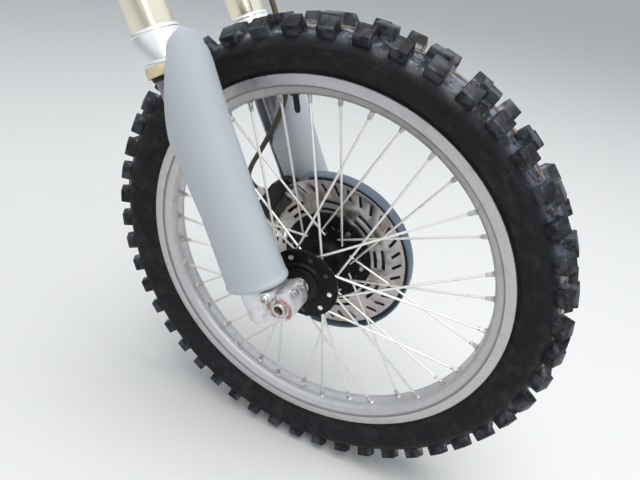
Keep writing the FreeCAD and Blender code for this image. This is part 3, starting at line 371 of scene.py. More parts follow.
def hard_chrome():
    # Painted shade: the chrome's colour is darkened to purple-grey, a painted reflection of the
    # dark tyre it faces inside the guards
    look = Finish("hard_chrome", (0.24, 0.225, 0.245), 1, turn=-RAKE)
    return look.stain((0.16, 0.145, 0.15), 70, 0.5, 0.75, 0.4).gloss(60, 0.34, 0.48)


def cream_plastic(settings):
    look = Finish("cream_plastic", settings.ring_colour)
    look.stain((0.4, 0.34, 0.2), 160, 0.5, 0.72, 0.5)
    return look.gloss(200, 0.38, 0.58, 3).grain(1200, 0.00008, 0.6)


def black_rubber():
    look = Finish("black_rubber", (0.012, 0.01, 0.009), Specular_IOR_Level=0.25)
    look.stain((0.04, 0.028, 0.021), 200, 0.52, 0.72, 0.5)
    return look.gloss(240, 0.44, 0.66, 3).grain(1500, 0.0001, 0.6)


def cast_alloy():
    look = Finish("cast_alloy", (0.7, 0.7, 0.72), 0.75, AXLE)
    grime = look.noise(70, 6, 0.65)
    look.tint(look.band(grime, 0.52, 0.74, 0, 0.6), (0.36, 0.34, 0.33))
    look.stain((0.5, 0.34, 0.3), 45, 0.6, 0.76, 0.4)
    # Rust lies round the axle's end
    radius = look.radius()
    ring = look.times(look.band(radius, 0.013, 0.0145), look.band(radius, 0.0172, 0.019, 1, 0))
    look.tint(look.times(ring, look.band(look.noise(50, 3), 0.4, 0.55)), (0.4, 0.2, 0.18))
    return look.rough(grime, 0.34, 0.55).grain(420, 0.00022, 0.6, 4)


def forged_alloy():
    look = Finish("forged_alloy", (0.56, 0.56, 0.57), 1, turn=-RAKE)
    look.stain((0.42, 0.41, 0.4), 24, 0.5, 0.72, 0.25)
    return look.gloss(140, 0.34, 0.46).grain(900, 0.00006, 0.6)


def machined_alloy():
    look = Finish("machined_alloy", (0.62, 0.61, 0.58), 1, AXLE)
    look.stain((0.33, 0.3, 0.25), 160, 0.48, 0.7, 0.6, 5).gloss(240, 0.24, 0.46)
    return look.bump(look.lines(look.axis("Y"), 2400), 0.00006, 0.7)


def black_steel():
    look = Finish("black_steel", (0.022, 0.021, 0.02))
    look.stain((0.13, 0.1, 0.075), 180, 0.56, 0.74, 0.6, 5)
    return look.gloss(200, 0.32, 0.56).grain(800, 0.00012, 0.7)


def caliper_black():
    look = Finish("caliper_black", (0.007, 0.007, 0.007), Specular_IOR_Level=0.3)
    look.stain((0.045, 0.038, 0.03), 130, 0.58, 0.74, 0.4, 5)
    return look.gloss(170, 0.3, 0.55).grain(520, 0.00025, 0.7, 4)


def pad_compound():
    look = Finish("pad_compound", (0.03, 0.028, 0.026), Roughness=0.85)
    return look.stain((0.07, 0.06, 0.048), 500, 0.48, 0.6, 0.8, 3).grain(700, 0.0003)


def hose_rubber(settings):
    look = Finish("hose_rubber", settings.hose_colour)
    return look.stain((0.1, 0.085, 0.055), 90, 0.5, 0.72, 0.5).gloss(150, 0.34, 0.5, 3)


# Meshes
def spun(bm, outline, axis, steps, closed=True):
    """Spin an outline of (radius, height along the axis) points right round."""
    along = Vector((0, 1, 0) if axis == "Y" else (0, 0, 1))
    corners = [bm.verts.new(Vector((radius, 0, 0)) + along * height)
               for radius, height in outline]
    pairs = list(zip(corners, corners[1:]))
    if closed:
        pairs.append((corners[-1], corners[0]))
    edges = [bm.edges.new(pair) for pair in pairs]
    bmesh.ops.spin(bm, geom=corners + edges, cent=(0, 0, 0), axis=along,
                   angle=math.tau, steps=steps, use_merge=True)
    bmesh.ops.remove_doubles(bm, verts=bm.verts, dist=1e-4)
    bmesh.ops.recalc_face_normals(bm, faces=bm.faces)


def mirrored(half):
    """A (radius, y) outline closed by its mirror image."""
    return list(half) + [(radius, -y) for radius, y in reversed(half)]


def soften(bm, width, segments=2, angle=30.0, edges=None):
    """Round the edges that are sharper than an angle."""
    limit = math.radians(angle)
    sharp = [edge for edge in (edges or bm.edges)
             if len(edge.link_faces) == 2 and edge.calc_face_angle(0.0) > limit]
    bmesh.ops.bevel(bm, geom=sharp, offset=width, offset_type="OFFSET", affect="EDGES",
                    segments=segments, profile=0.5, material=-1, clamp_overlap=False)


def stud(bm, start, end, radius, sides=24, tip=None):
    """A bar between two points, which may narrow to its tip."""
    start, end = Vector(start), Vector(end)
    along = end - start
    turn = along.to_track_quat("Z", "Y").to_matrix().to_4x4()
    place = Matrix.Translation((start + end) / 2) @ turn
    bmesh.ops.create_cone(bm, cap_ends=True, segments=sides, radius1=radius,
                          radius2=radius if tip is None else tip, depth=along.length,
                          matrix=place)


def studs(bm, place, along, rows):
    """Bars in line: start and end from a place, radius, sides, radius at the end."""
    for start, end, *shape in rows:
        stud(bm, place + along * start, place + along * end, *shape)


def meshed(name, bm):
    """The finished mesh of a bmesh."""
    mesh = bpy.data.meshes.new(name)
    bm.to_mesh(mesh)
    bm.free()
    return mesh


def placed(name, data):
    """An object of the scene."""
    made = bpy.data.objects.new(name, data)
    bpy.context.scene.collection.objects.link(made)
    return made


def joined(bm, mesh, place):
    """Add a mesh at a place."""
    moved = mesh.copy()
    moved.transform(place)
    bm.from_mesh(moved)
    bpy.data.meshes.remove(moved)


def piece(name, bm, place, look, body, nodes=(), smooth=38.0):
    """Put a finished mesh in the row frame, on its body and in place of its nodes."""
    bmesh.ops.transform(bm, matrix=place, verts=bm.verts)
    bmesh.ops.recalc_face_normals(bm, faces=bm.faces)
    mesh = meshed(name, bm)
    mesh.shade_smooth()
    mesh.set_sharp_from_angle(angle=math.radians(smooth))
    mesh.materials.append(look.material)
    made = placed(name, mesh)
    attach(made, body)
    if nodes:
        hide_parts(*nodes)
    return made


def dressed(name, node, width, look, body, segments=2):
    """A copy of a node's mesh with its edges rounded."""
    bm = bmesh.new()
    bm.from_mesh(frame["nodes"][node].data)
    bmesh.ops.remove_doubles(bm, verts=bm.verts, dist=2e-6)
    bmesh.ops.dissolve_limit(bm, angle_limit=math.radians(1.0), verts=bm.verts, edges=bm.edges)
    soften(bm, width * MM, segments, 32.0)
    piece(name, bm, Matrix.Identity(4), look, body, [node])


def turned(name, outline, axis, steps, rounding, place, look, body, node):
    """A spun piece with its edges rounded: rounding is a width, segments and an angle."""
    bm = bmesh.new()
    spun(bm, outline, axis, steps)
    soften(bm, *rounding)
    piece(name, bm, place, look, body, [node])


def outwards(outline, side):
    """A (radius, y) outline of the left side, taken to one side."""
    return [(radius, side * y) for radius, y in outline]


def leg(side):
    return FORK @ Matrix.Translation((LEG_AHEAD, side * LEG_ASIDE, -AXLE_DROP))


def round_wheel(angle):
    """Turn about the axle, from +X towards +Z."""
    return Matrix.Rotation(-math.radians(angle), 4, "Y")


def polar(radius, angle, y):
    turn = math.radians(angle)
    return Vector((radius * math.cos(turn), y, radius * math.sin(turn)))


# Tyre: its casing's outline in radius and half width, and its rows of blocks
CASING = (
    (269.6, 16.8), (269.6, 21.3), (277, 21.4), (283.6, 21.8), (286.2, 23.4), (287.4, 25),
    (288.8, 25.4), (293, 28.8), (298.5, 33.4), (304.5, 38), (310, 41.4), (315, 42.2),
    (320, 39.6), (325.5, 35), (329.6, 29), (332.8, 21), (334.6, 12), (335, 4),
)
CASING_INSIDE = ((284, 16.6), (311, 36), (326, 22), (330, 9))
TREAD_UNITS = 16
TREAD_UNIT = 360.0 / TREAD_UNITS
# Columns: middle in Y, width and length of a block's foot, tip radius, lean outwards, depth,
# share of the foot that is left at the tip, angles of its blocks in each unit of the tread
KNOB_ROWS = (
    (0, 26, 27, 349, 0, 16, 0.925, (3.75, 15)),
    (34.5, 23, 23, 342, 35, 20, 0.913, (2.2, 9.7, 17.2)),
    (-34.5, 23, 23, 342, -35, 20, 0.913, (2.2, 9.7, 17.2)),
)
MOULD_LINE = ((334.5, 1.3), (335.9, 1), (336.3, 0), (335.9, -1), (334.5, -1.3))


class FRONTFORK_OT_tyre(Operator):
    """Make the knobbly tyre and its mould line"""
    bl_idname = "front_fork.tyre"
    bl_label = "Tyre"

    def execute(self, context):
        wheel = context.scene.front_fork_wheel
        bm = bmesh.new()
        spun(bm, mirrored(CASING) + mirrored(CASING_INSIDE)[::-1], "Y", wheel.tyre_steps)
        for row in KNOB_ROWS:
            block = self.knob(wheel, *row[:-1])
            for unit in range(TREAD_UNITS):
                for angle in row[-1]:
                    joined(bm, block, round_wheel(unit * TREAD_UNIT + angle))
            bpy.data.meshes.remove(block)
        piece("tyre_with_blocks", bm, WHEEL, tyre_rubber(wheel), "wheel",
              ["tyre"], 45.0)
        line = bmesh.new()
        spun(line, MOULD_LINE, "Y", wheel.tyre_steps)
        piece("tyre_mould_line", line, WHEEL, mould_line(), "wheel")
        return {"FINISHED"}

    def knob(self, wheel, y, width, long, tip, lean, depth, taper):
        """A mesh of one tread block at the angle zero."""
        bm = bmesh.new()
        corners = bmesh.ops.create_cube(bm, size=1.0)["verts"]
        bmesh.ops.translate(bm, verts=corners, vec=(-0.5, 0, 0))
        top = [corner for corner in corners if corner.co.x > -0.5]
        bmesh.ops.scale(bm, verts=top, vec=(1.0, taper, taper))
        bmesh.ops.scale(bm, verts=corners, vec=(depth, width, long))
        soften(bm, wheel.knob_rounding / MM, 2, 30.0,
               [edge for edge in bm.edges if any(corner in top for corner in edge.verts)])
        seat = Matrix.Translation((tip, y, 0)) @ Matrix.Rotation(math.radians(lean), 4, "Z")
        bmesh.ops.transform(bm, matrix=seat, verts=bm.verts)
        return meshed("block", bm)


# Hub flanges: side, middle in Y, radius where the spokes start, angle of the first pair, half
# the angle between a pair's starts
FLANGES = {
    "right": (-1, -50.5, 43, 29.2, 9.7),
    "left": (1, 27.5, 45, 20, 6),
}
PAIRS = 9
# Half the angle between a pair's rim ends, faces round a spoke, and how far short of the rim
# it ends in its nipple
SPOKE_SPREAD = 30.0
SPOKE_SIDES = 10
SPOKE_END = 4.0
# Along Y: from one layer of spokes to the other, from a flange's middle to the bend and to the
# heads outside and inside, and from the wheel's middle to the rim ends
SPOKE_LAYER = 4.1
BEND_IN = 4.6
HEAD_OUTSIDE = 3.6
HEAD_INSIDE = 1.0
RIM_SEAT = 6.2
RIM_INNER = 255.0
# The right flange's outside heads that are lit and bright; the others are painted dark as shaded
LIT_HEADS = (2, 7, 8)
# Half of the rim's section: the well, the lip with its step, and the inner wall
RIM_HALF = (
    (258.2, 9.2), (269.2, 21.6), (281.4, 21.6), (282, 22.2), (282, 24.3), (281.3, 25),
    (269.2, 25), (268.6, 24.7), (268, 22.6), (266.6, 21.8), (260, 17.4), (257.6, 16.2),
    (256.4, 14.4), (255.6, 12.6), (255, 12.2), (255, 10.4), (255.8, 10), (255.8, 9.2),
    (255, 8.8), (255, 2),
)
# Bars in line, by columns: start, end, radius, sides, radius at the end
HEAD_BARS = ((-1.2, 0.2, 3.7, 14, 3.7), (0.2, 0.9, 3.7, 14, 2.2))
NIPPLE_BARS = ((-5, 0.5, 3.4, 10, 3.7), (-10.5, -4.8, 3.5, 4, 3.5),
               (-13, -10, 2.5, 10, 2.9))
BOLT_END_BARS = ((0, -2.6, 4.4, 18, 3.9),)
# Seat of a nipple: foot and tip, their radii and sides
SEAT_FOOT = 0.6
SEAT_TIP = 2.0
SEAT_SHAPE = (6.4, 12, 4.3)
HUB_OUTLINE = (
    (10.1, -51), (27, -51), (27, -58), (33, -58), (34.5, -54), (38, -53), (54, -53), (54, -48),
    (37, -48), (33, -45), (26, -38), (24, -35), (24, 13), (26, 17), (33, 23.5), (37, 25),
    (56, 25), (56, 30), (45, 30), (45, 32), (71, 32), (71, 37), (51.8, 37), (51.8, 40),
    (33, 40), (33, 58), (27, 58), (27, 51), (10.1, 51),
)
SEAL_OUTLINE = (
    (26.8, 52.5), (26.8, 58.6), (25.6, 58.8), (24.6, 57.6), (19.5, 57.2), (17.6, 58.4),
    (15.2, 58.4), (14.3, 57), (14.3, 52.5),
)
DISC_BOLTS = 6
DISC_BOLT_CIRCLE = 58.0
DISC_BOLT_END = 32.2
VALVE_ANGLE = 104.0
VALVE_OUTLINE = (
    (0, 0), (7, 0), (7, 2.6), (6.2, 3.2), (4.2, 4), (4, 9), (4, 21), (3.6, 24), (2.2, 26),
    (0, 26),
)


def spoke_places(name):
    """Head, bend, rim end and direction of each spoke of one flange.

    Of each pair, the first spoke has its head outside the flange.
    """
    side, flange_y, start_r, first, spread = FLANGES[name]
    places = []
    for index in range(PAIRS):
        middle = first + index * 360.0 / PAIRS
        for lead in (-1, 1):
            layer = SPOKE_LAYER if lead > 0 else 0.0
            head_y = flange_y + side * (HEAD_OUTSIDE if lead < 0 else HEAD_INSIDE)
            angle = middle - lead * spread
            head = polar(start_r, angle, head_y)
            bend = polar(start_r, angle, flange_y - side * (BEND_IN + layer))
            rim = polar(RIM_INNER, middle + lead * SPOKE_SPREAD, side * (RIM_SEAT - layer))
            places.append((head, bend, rim, (rim - bend).normalized()))
    return places


class FRONTFORK_OT_rim(Operator):
    """Make the rim with a raised seat for each nipple"""
    bl_idname = "front_fork.rim"
    bl_label = "Rim"

    def execute(self, context):
        wheel = context.scene.front_fork_wheel
        bm = bmesh.new()
        spun(bm, mirrored(RIM_HALF), "Y", wheel.rim_steps)
        for name in FLANGES:
            for _, _, rim, along in spoke_places(name):
                foot = rim + rim.normalized() * SEAT_FOOT
                stud(bm, foot, rim - along * SEAT_TIP, *SEAT_SHAPE)
        soften(bm, 0.25, 1, 50.0)
        piece("rim_with_seats", bm, WHEEL, rim_alloy(wheel), "wheel", ["rim"])
        return {"FINISHED"}


class FRONTFORK_OT_spokes(Operator):
    """Make the bent spokes with their heads, and the nipples"""
    bl_idname = "front_fork.spokes"
    bl_label = "Spokes"

    def execute(self, context):
        wheel = context.scene.front_fork_wheel
        steel = spoke_steel()
        for name in FLANGES:
            piece("spokes_bent_" + name, self.spokes(name, wheel.spoke_radius / MM), WHEEL,
                  steel, "wheel", ["spokes_" + name], 60.0)
        piece("spoke_heads_clean", self.heads(True), WHEEL, steel, "wheel")
        # The heads in shade are painted dark
        piece("spoke_heads_dirty", self.heads(False), WHEEL, dirty_steel(),
              "wheel")
        piece("nipples_shaped", self.nipples(), WHEEL, zinc_plate(), "wheel",
              ["spoke_nipples"])
        return {"FINISHED"}

    def spokes(self, name, radius):
        """The spokes of one flange, each with a ball at its bend."""
        bm = bmesh.new()
        for head, bend, rim, along in spoke_places(name):
            stud(bm, head, bend, radius, SPOKE_SIDES)
            bmesh.ops.create_icosphere(bm, subdivisions=2, radius=radius * 1.02,
                                       matrix=Matrix.Translation(bend))
            stud(bm, bend, rim - along * SPOKE_END, radius, SPOKE_SIDES)
        return bm

    def heads(self, is_lit):
        """The domed heads on the flanges' outsides: the lit ones, or the rest, which are painted
        dark as shaded.
        """
        bm = bmesh.new()
        for name in FLANGES:
            for index, (head, bend, _, _) in enumerate(spoke_places(name)[::2]):
                if (name == "right" and index in LIT_HEADS) == is_lit:
                    studs(bm, head, (head - bend).normalized(), HEAD_BARS)
        return bm

    def nipples(self):
        """The nipples of both flanges' spokes."""
        bm = bmesh.new()
        for name in FLANGES:
            for _, _, rim, along in spoke_places(name):
                studs(bm, rim, along, NIPPLE_BARS)
        return bm


class FRONTFORK_OT_hub(Operator):
    """Make the hub, its seals and the ends of the disc's bolts"""
    bl_idname = "front_fork.hub"
    bl_label = "Hub"

    def execute(self, context):
        black = hub_black(context.scene.front_fork_wheel)
        turned("hub_rounded", HUB_OUTLINE, "Y", 96, (0.7, 2, 32.0), WHEEL, black,
               "wheel", "hub")
        rubber = black_rubber()
        for name, side in SIDES:
            turned("seal_lipped_" + name, outwards(SEAL_OUTLINE, side), "Y", 72,
                   (0.25, 1, 40.0), WHEEL, rubber, "wheel",
                   "hub_seal_" + name)
        ends = bmesh.new()
        for index in range(DISC_BOLTS):
            foot = polar(DISC_BOLT_CIRCLE, index * 360.0 / DISC_BOLTS, DISC_BOLT_END)
            studs(ends, foot, Vector((0, 1, 0)), BOLT_END_BARS)
        piece("bolt_ends", ends, WHEEL, zinc_plate(), "wheel")
        return {"FINISHED"}


class FRONTFORK_OT_brake(Operator):
    """Make the disc, its bolts, the cover, the caliper with its pads and the bracket"""
    bl_idname = "front_fork.brake"
    bl_label = "Brake"

    def execute(self, context):
        brake = context.scene.front_fork_brake
        dressed("disc_ground", "brake_disc", 0.25, disc_steel(brake), "wheel", 1)
        dressed("disc_bolts_rounded", "disc_bolts", 0.6, zinc_plate(), "wheel")
        dressed("cover_rounded", "disc_cover", 0.7, cover_plastic(brake),
                "fork")
        dressed("caliper_rounded", "brake_caliper", 2.0, caliper_black(),
                "fork", 3)
        dressed("bracket_rounded", "caliper_bracket", 1.0, black_steel(),
                "fork")
        dressed("pads_rounded", "brake_pads", 0.3, pad_compound(), "fork")
        return {"FINISHED"}


# Hose: its points as ahead of the leg axis, rise and Y, the same as in the part's source
HOSE_POINTS = (
    (-67, 120, 62), (-82, 138, 64), (-66, 158, 66), (-36, 178, 63), (-5, 201, 61.5),
    (24, 225, 61.5), (44, 250, 63), (58, 292, 67), (63, 350, 70), (61, 440, 73), (56, 530, 75),
    (52, 620, 74), (49, 726, 73), (45, 800, 74), (42, 856, 77),
)


class FRONTFORK_OT_hose(Operator):
    """Make the brake hose on one smooth line, and dress its clips and end fittings"""
    bl_idname = "front_fork.hose"
    bl_label = "Hose"

    def execute(self, context):
        brake = context.scene.front_fork_brake
        line = bpy.data.curves.new("hose_smooth", "CURVE")
        line.dimensions = "3D"
        line.bevel_depth = brake.hose_radius
        line.bevel_resolution = 5
        line.resolution_u = 12
        line.use_fill_caps = True
        run = line.splines.new("NURBS")
        run.points.add(len(HOSE_POINTS) - 1)
        for point, (ahead, rise, y) in zip(run.points, HOSE_POINTS):
            place = FORK @ Vector((LEG_AHEAD + ahead, y, rise - AXLE_DROP))
            point.co = (*place, 1.0)
        run.order_u = 3
        run.use_endpoint_u = True
        line.materials.append(hose_rubber(brake).material)
        hose = placed("hose_smooth", line)
        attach(hose, "fork")
        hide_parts("brake_hose")
        dressed("clips_rounded", "hose_clips", 0.5, black_steel(), "fork")
        dressed("fittings_rounded", "hose_fittings", 0.6, zinc_plate(), "fork")
        return {"FINISHED"}


# Turned pieces of a leg, by columns: name and node without the side, width of the rounding,
# slot, outline in radius and rise
LEG_PIECES = (
    ("tube_outer_", "outer_tube_", 0.4, "gold_tube", (
        (21.8, 318), (25, 318), (25, 628), (26.5, 648), (26.5, 698),
        (25.6, 718), (25.6, 840), (25, 840), (25, 880), (21.8, 880))),
    ("tube_inner_", "inner_tube_", 0.3, "chrome", (
        (19, -14), (21.5, -14), (21.5, 520), (19, 520))),
    ("collar_turned_", "tube_collar_", 0.35, "bare_alloy", (
        (24.6, 327), (28, 327), (28.1, 330.5), (27.8, 331.2), (28.2, 331.9),
        (28.85, 360), (28.5, 360.8), (29, 361.6), (28.9, 363.2), (28, 365.3),
        (24.6, 366))),
    ("ring_cream_", "guide_ring_", 0.4, "cream_plastic", (
        (25.2, 315.8), (28, 315.8), (28.6, 317.4), (28.6, 325.6), (28, 326.8),
        (25.2, 326.8))),
    ("wiper_lipped_", "dust_wiper_", 0.5, "black_rubber", (
        (21.7, 310.8), (23.2, 310.8), (24.6, 312.6), (24.6, 317.8), (21.7, 317.8))),
)


class FRONTFORK_OT_tubes(Operator):
    """Make the tubes of both legs with their caps, collars, guide rings and wipers"""
    bl_idname = "front_fork.tubes"
    bl_label = "Tubes"

    def execute(self, context):
        fork = context.scene.front_fork_legs
        # The inner tubes' chrome is painted dark as shade
        looks = (tube_anodising(fork), hard_chrome(), polished_alloy(), cream_plastic(fork),
                 black_rubber())
        black = hub_black(context.scene.front_fork_wheel)
        for name, side in SIDES:
            for look, (title, node, rounding, slot, outline) in zip(looks, LEG_PIECES):
                turned(title + name, outline, "Z", 96, (rounding, 2, 28.0), leg(side), look,
                       "fork", node + name)
            dressed("cap_rounded_" + name, "tube_cap_" + name, 0.6, black,
                    "fork")
        return {"FINISHED"}


# Guards, as on the left leg: rise against the section's middle ahead of the leg axis, and
# against half its depth
GUARD_AHEAD = ((20, -1), (140, 2.5), (240, 4.5), (362, 17))
GUARD_DEPTH = ((20, 47), (140, 41), (240, 43), (362, 42))
# Half width of the section, radius of its ends, angle where its rear end stops, and its middle
# in Y from the leg axis
GUARD_WIDTH = 35.0
GUARD_END = 30.0
GUARD_REAR = 184.0
GUARD_ASIDE = -2.0
# Rise of the foot and of the untrimmed sleeve's top, rows of faces up and columns round
GUARD_FOOT = 33.0
GUARD_TOP = 362.0
GUARD_ROWS = 44
GUARD_COLUMNS = 84
# Ahead of the leg axis against rise: each guard's upper edge; the left one is fuller behind
GUARD_TOPS = {
    "right": ((-90, 233), (-32, 233), (7, 297.5), (38, 347), (50, 354.5),
              (62, 341), (90, 341)),
    "left": ((-90, 240), (-41, 240), (-26, 278), (10, 318), (38, 347),
             (50, 354.5), (62, 341), (90, 341)),
}
# Rise against ahead of the leg axis: the edge of the flank on the wheel's side
FLANK_EDGE = ((104, -13), (181, -15), (242, 18), (300, 44), (362, 64))
# Where the flank starts behind, the rise up to which it is cut away, and the Y of both cuts
FLANK_REAR = -20.0
FLANK_FOOT = 104.0
FLANK_FOOT_Y = -25.0
FLANK_TOP_Y = -5.0
# Share of the lip's height against how far the wall swells there
LIP_SWELL = ((0, 0), (0.16, 0.6), (0.36, 0.9), (0.66, 0.9), (0.86, 0.5), (1, 0))


def between(points, value):
    """The second number against the first, along straight lines."""
    for (low, first), (high, second) in zip(points, points[1:]):
        if value <= high:
            return first + (second - first) * (value - low) / (high - low)
    return points[-1][1]


def guard_section(share, ahead, half_depth):
    """A point of the section and its outward direction, by share of its length."""
    end_x = half_depth - GUARD_END
    side_r = ((end_x ** 2 + GUARD_WIDTH ** 2 - GUARD_END ** 2)
              / (2 * (GUARD_WIDTH - GUARD_END)))
    middle_y = GUARD_WIDTH - side_r
    meet = math.degrees(math.atan2(-middle_y, end_x))
    spans = (
        (end_x, 0.0, GUARD_END, -90.0, meet),
        (0.0, middle_y, side_r, meet, 180 - meet),
        (-end_x, 0.0, GUARD_END, 180 - meet, GUARD_REAR),
    )
    flank = end_x + ahead - FLANK_REAR
    lengths = [radius * math.radians(end - start) for x, y, radius, start, end in spans]
    left = share * (flank + sum(lengths)) - flank
    if left < 0:
        return Vector((end_x + left, -GUARD_END, 0)), Vector((0, -1, 0))
    for (x, y, radius, start, end), size in zip(spans, lengths):
        if left <= size or (x, y) == spans[-1][:2]:
            turn = math.radians(start + (end - start) * left / size)
            out = Vector((math.cos(turn), math.sin(turn), 0))
            return Vector((x, y, 0)) + out * radius, out
        left -= size


def guard_keeps(place, top):
    """Whether a place on the full sleeve, from the leg axis, belongs to the guard."""
    if place.z > between(top, place.x):
        return False
    if place.y < FLANK_FOOT_Y and place.z < FLANK_FOOT:
        return False
    return (place.y > FLANK_TOP_Y or place.z < FLANK_FOOT
            or place.x > between(FLANK_EDGE, place.z))


class FRONTFORK_OT_guards(Operator):
    """Make the two fork guards with their rolled lips"""
    bl_idname = "front_fork.guards"
    bl_label = "Guards"

    def execute(self, context):
        fork = context.scene.front_fork_legs
        plastic = guard_plastic(fork)
        for name, side in SIDES:
            bm = self.sleeve(fork)
            self.trim(bm, GUARD_TOPS[name])
            bmesh.ops.scale(bm, verts=bm.verts, vec=(1.0, side, 1.0))
            guard = piece("guard_lipped_" + name, bm, leg(side), plastic,
                          "fork", ["fork_guard_" + name], 50.0)
            wall = guard.modifiers.new("wall", "SOLIDIFY")
            wall.thickness = fork.guard_wall
            wall.offset = 0.0
            edge = guard.modifiers.new("edge", "BEVEL")
            edge.width = fork.guard_rounding
            edge.segments = 2
            edge.limit_method = "ANGLE"
            edge.angle_limit = math.radians(50.0)
        return {"FINISHED"}

    def sleeve(self, fork):
        """The middle of the guard's wall from the foot to above its top, untrimmed."""
        lip = fork.lip_height / MM
        rises = [GUARD_FOOT + lip * share for share, swell in LIP_SWELL]
        rises += [rises[-1] + (GUARD_TOP - rises[-1]) * row / GUARD_ROWS
                  for row in range(1, GUARD_ROWS + 1)]
        bm = bmesh.new()
        corners = bmesh.ops.create_grid(bm, x_segments=GUARD_COLUMNS,
                                        y_segments=len(rises) - 1, size=0.5)["verts"]
        for corner in corners:
            row = round((corner.co.y + 0.5) * (len(rises) - 1))
            rise = rises[row]
            ahead = between(GUARD_AHEAD, rise)
            place, out = guard_section(corner.co.x + 0.5, ahead, between(GUARD_DEPTH, rise))
            swell = LIP_SWELL[row][1] if row < len(LIP_SWELL) else 0.0
            corner.co = place + out * (swell - fork.guard_wall / MM / 2)
            corner.co += Vector((ahead, GUARD_ASIDE, rise))
        return bm

    def trim(self, bm, top):
        """Cut the sleeve along the guard's edges and take away what lies outside them."""
        flank = [(ahead, rise) for rise, ahead in FLANK_EDGE]
        planes = [((0, FLANK_FOOT_Y, 0), (0, 1, 0)), ((0, FLANK_TOP_Y, 0), (0, 1, 0)),
                  ((0, 0, FLANK_FOOT), (0, 0, 1))]
        for edge in (top, flank):
            for (x1, z1), (x2, z2) in zip(edge, edge[1:]):
                planes.append(((x1, 0, z1), (z2 - z1, 0, x1 - x2)))
        for point, normal in planes:
            bmesh.ops.bisect_plane(bm, geom=list(bm.verts) + list(bm.edges) + list(bm.faces),
                                   plane_co=point, plane_no=normal, dist=0.3)
        outside = [face for face in bm.faces
                   if not guard_keeps(face.calc_center_median(), top)]
        bmesh.ops.delete(bm, geom=outside, context="FACES")


# Guard screw of the left leg: its seat ahead of the leg axis, in Y and in rise
SCREW_SEAT = (24.5, 27, 20.5)
SCREW_OUTLINE = (
    (0, 1.6), (2.6, 1.6), (2.9, 3.9), (3.6, 4), (5.2, 3.5), (6.2, 2.2), (6.5, 0.6), (6.5, 0),
    (3, 0), (3, -12), (0, -12),
)
SPACER_OUTLINE = (
    (10.1, 51.3), (14, 51.3), (14, 60.5), (12.4, 63), (12.8, 72.5), (13.9, 73.4), (13.9, 75.8),
    (10.1, 75.8),
)


class FRONTFORK_OT_lugs(Operator):
    """Dress the axle lugs, their pinch bolts and the guard screws"""
    bl_idname = "front_fork.lugs"
    bl_label = "Lugs"

    def execute(self, context):
        cast = cast_alloy()
        zinc = zinc_plate()
        ahead, aside, rise = SCREW_SEAT
        for name, side in SIDES:
            dressed("lug_cast_" + name, "axle_lug_" + name, 0.5, cast, "fork")
            dressed("pinch_rounded_" + name, "pinch_bolts_" + name, 0.5, zinc,
                    "fork")
            # The screw's head points away from the wheel
            seat = leg(side) @ Matrix.Translation((ahead, side * aside, rise))
            screw = bmesh.new()
            spun(screw, SCREW_OUTLINE, "Z", 36, closed=False)
            piece("screw_socketed_" + name, screw,
                  seat @ Matrix.Rotation(-side * math.pi / 2, 4, "X"), zinc,
                  "fork", ["guard_screws_" + name])
        return {"FINISHED"}


class FRONTFORK_OT_axle(Operator):
    """Dress the axle, its nut and the wheel spacers"""
    bl_idname = "front_fork.axle"
    bl_label = "Axle"

    def execute(self, context):
        zinc = zinc_plate()
        alloy = machined_alloy()
        dressed("axle_rounded", "front_axle", 0.6, zinc, "fork")
        dressed("nut_rounded", "axle_nut", 0.6, zinc, "fork")
        for name, side in SIDES:
            turned("spacer_turned_" + name, outwards(SPACER_OUTLINE, side), "Y", 72,
                   (0.4, 2, 30.0), WHEEL, alloy, "fork",
                   "wheel_spacer_" + name)
        return {"FINISHED"}


class FRONTFORK_OT_head(Operator):
    """Dress the lower clamp, its bolts and the steering stem"""
    bl_idname = "front_fork.head"
    bl_label = "Clamp and stem"

    def execute(self, context):
        dressed("clamp_rounded", "lower_clamp", 1.6, forged_alloy(), "fork", 3)
        dressed("clamp_bolts_rounded", "clamp_bolts", 0.6, zinc_plate(), "fork")
        dressed("stem_rounded", "steering_stem", 0.5, polished_alloy(), "fork")
        return {"FINISHED"}


class FRONTFORK_OT_valve(Operator):
    """Make the valve with its nut and cap"""
    bl_idname = "front_fork.valve"
    bl_label = "Valve"

    def execute(self, context):
        bm = bmesh.new()
        spun(bm, VALVE_OUTLINE, "Z", 32, closed=False)
        foot = polar(RIM_INNER - 0.2, VALVE_ANGLE, 0)
        turn = (-foot).to_track_quat("Z", "Y").to_matrix().to_4x4()
        piece("valve_capped", bm, WHEEL @ Matrix.Translation(foot) @ turn, black_rubber(),
              "wheel", ["tube_valve"])
        return {"FINISHED"}


# Camera: its place from the axle, and where its right side and its view point
CAMERA_PLACE = (0.2205, -0.5771, 0.4218)
CAMERA_RIGHT = (0.9014, 0.4190, 0.1096)
CAMERA_VIEW = (-0.3073, 0.7971, -0.5198)
FLOOR_HALF = 30.0
FLOOR_GAP = 0.0005
# The sky that metal mirrors grows brighter with the height of the direction
SKY_DOME = {"From Min": -0.05, "From Max": 0.30, "To Min": 0.55, "To Max": 1.1}
WALL_STRENGTH = 0.62
# Lamps, by columns: name, shape, width, height, place from the axle
LAMPS = (
    ("key", "DISK", 3.2, 3.2, (0.5, -0.3, 3.4)),
    ("strip", "RECTANGLE", 0.55, 2.4, (1.55, -1.75, 1.5)),
)


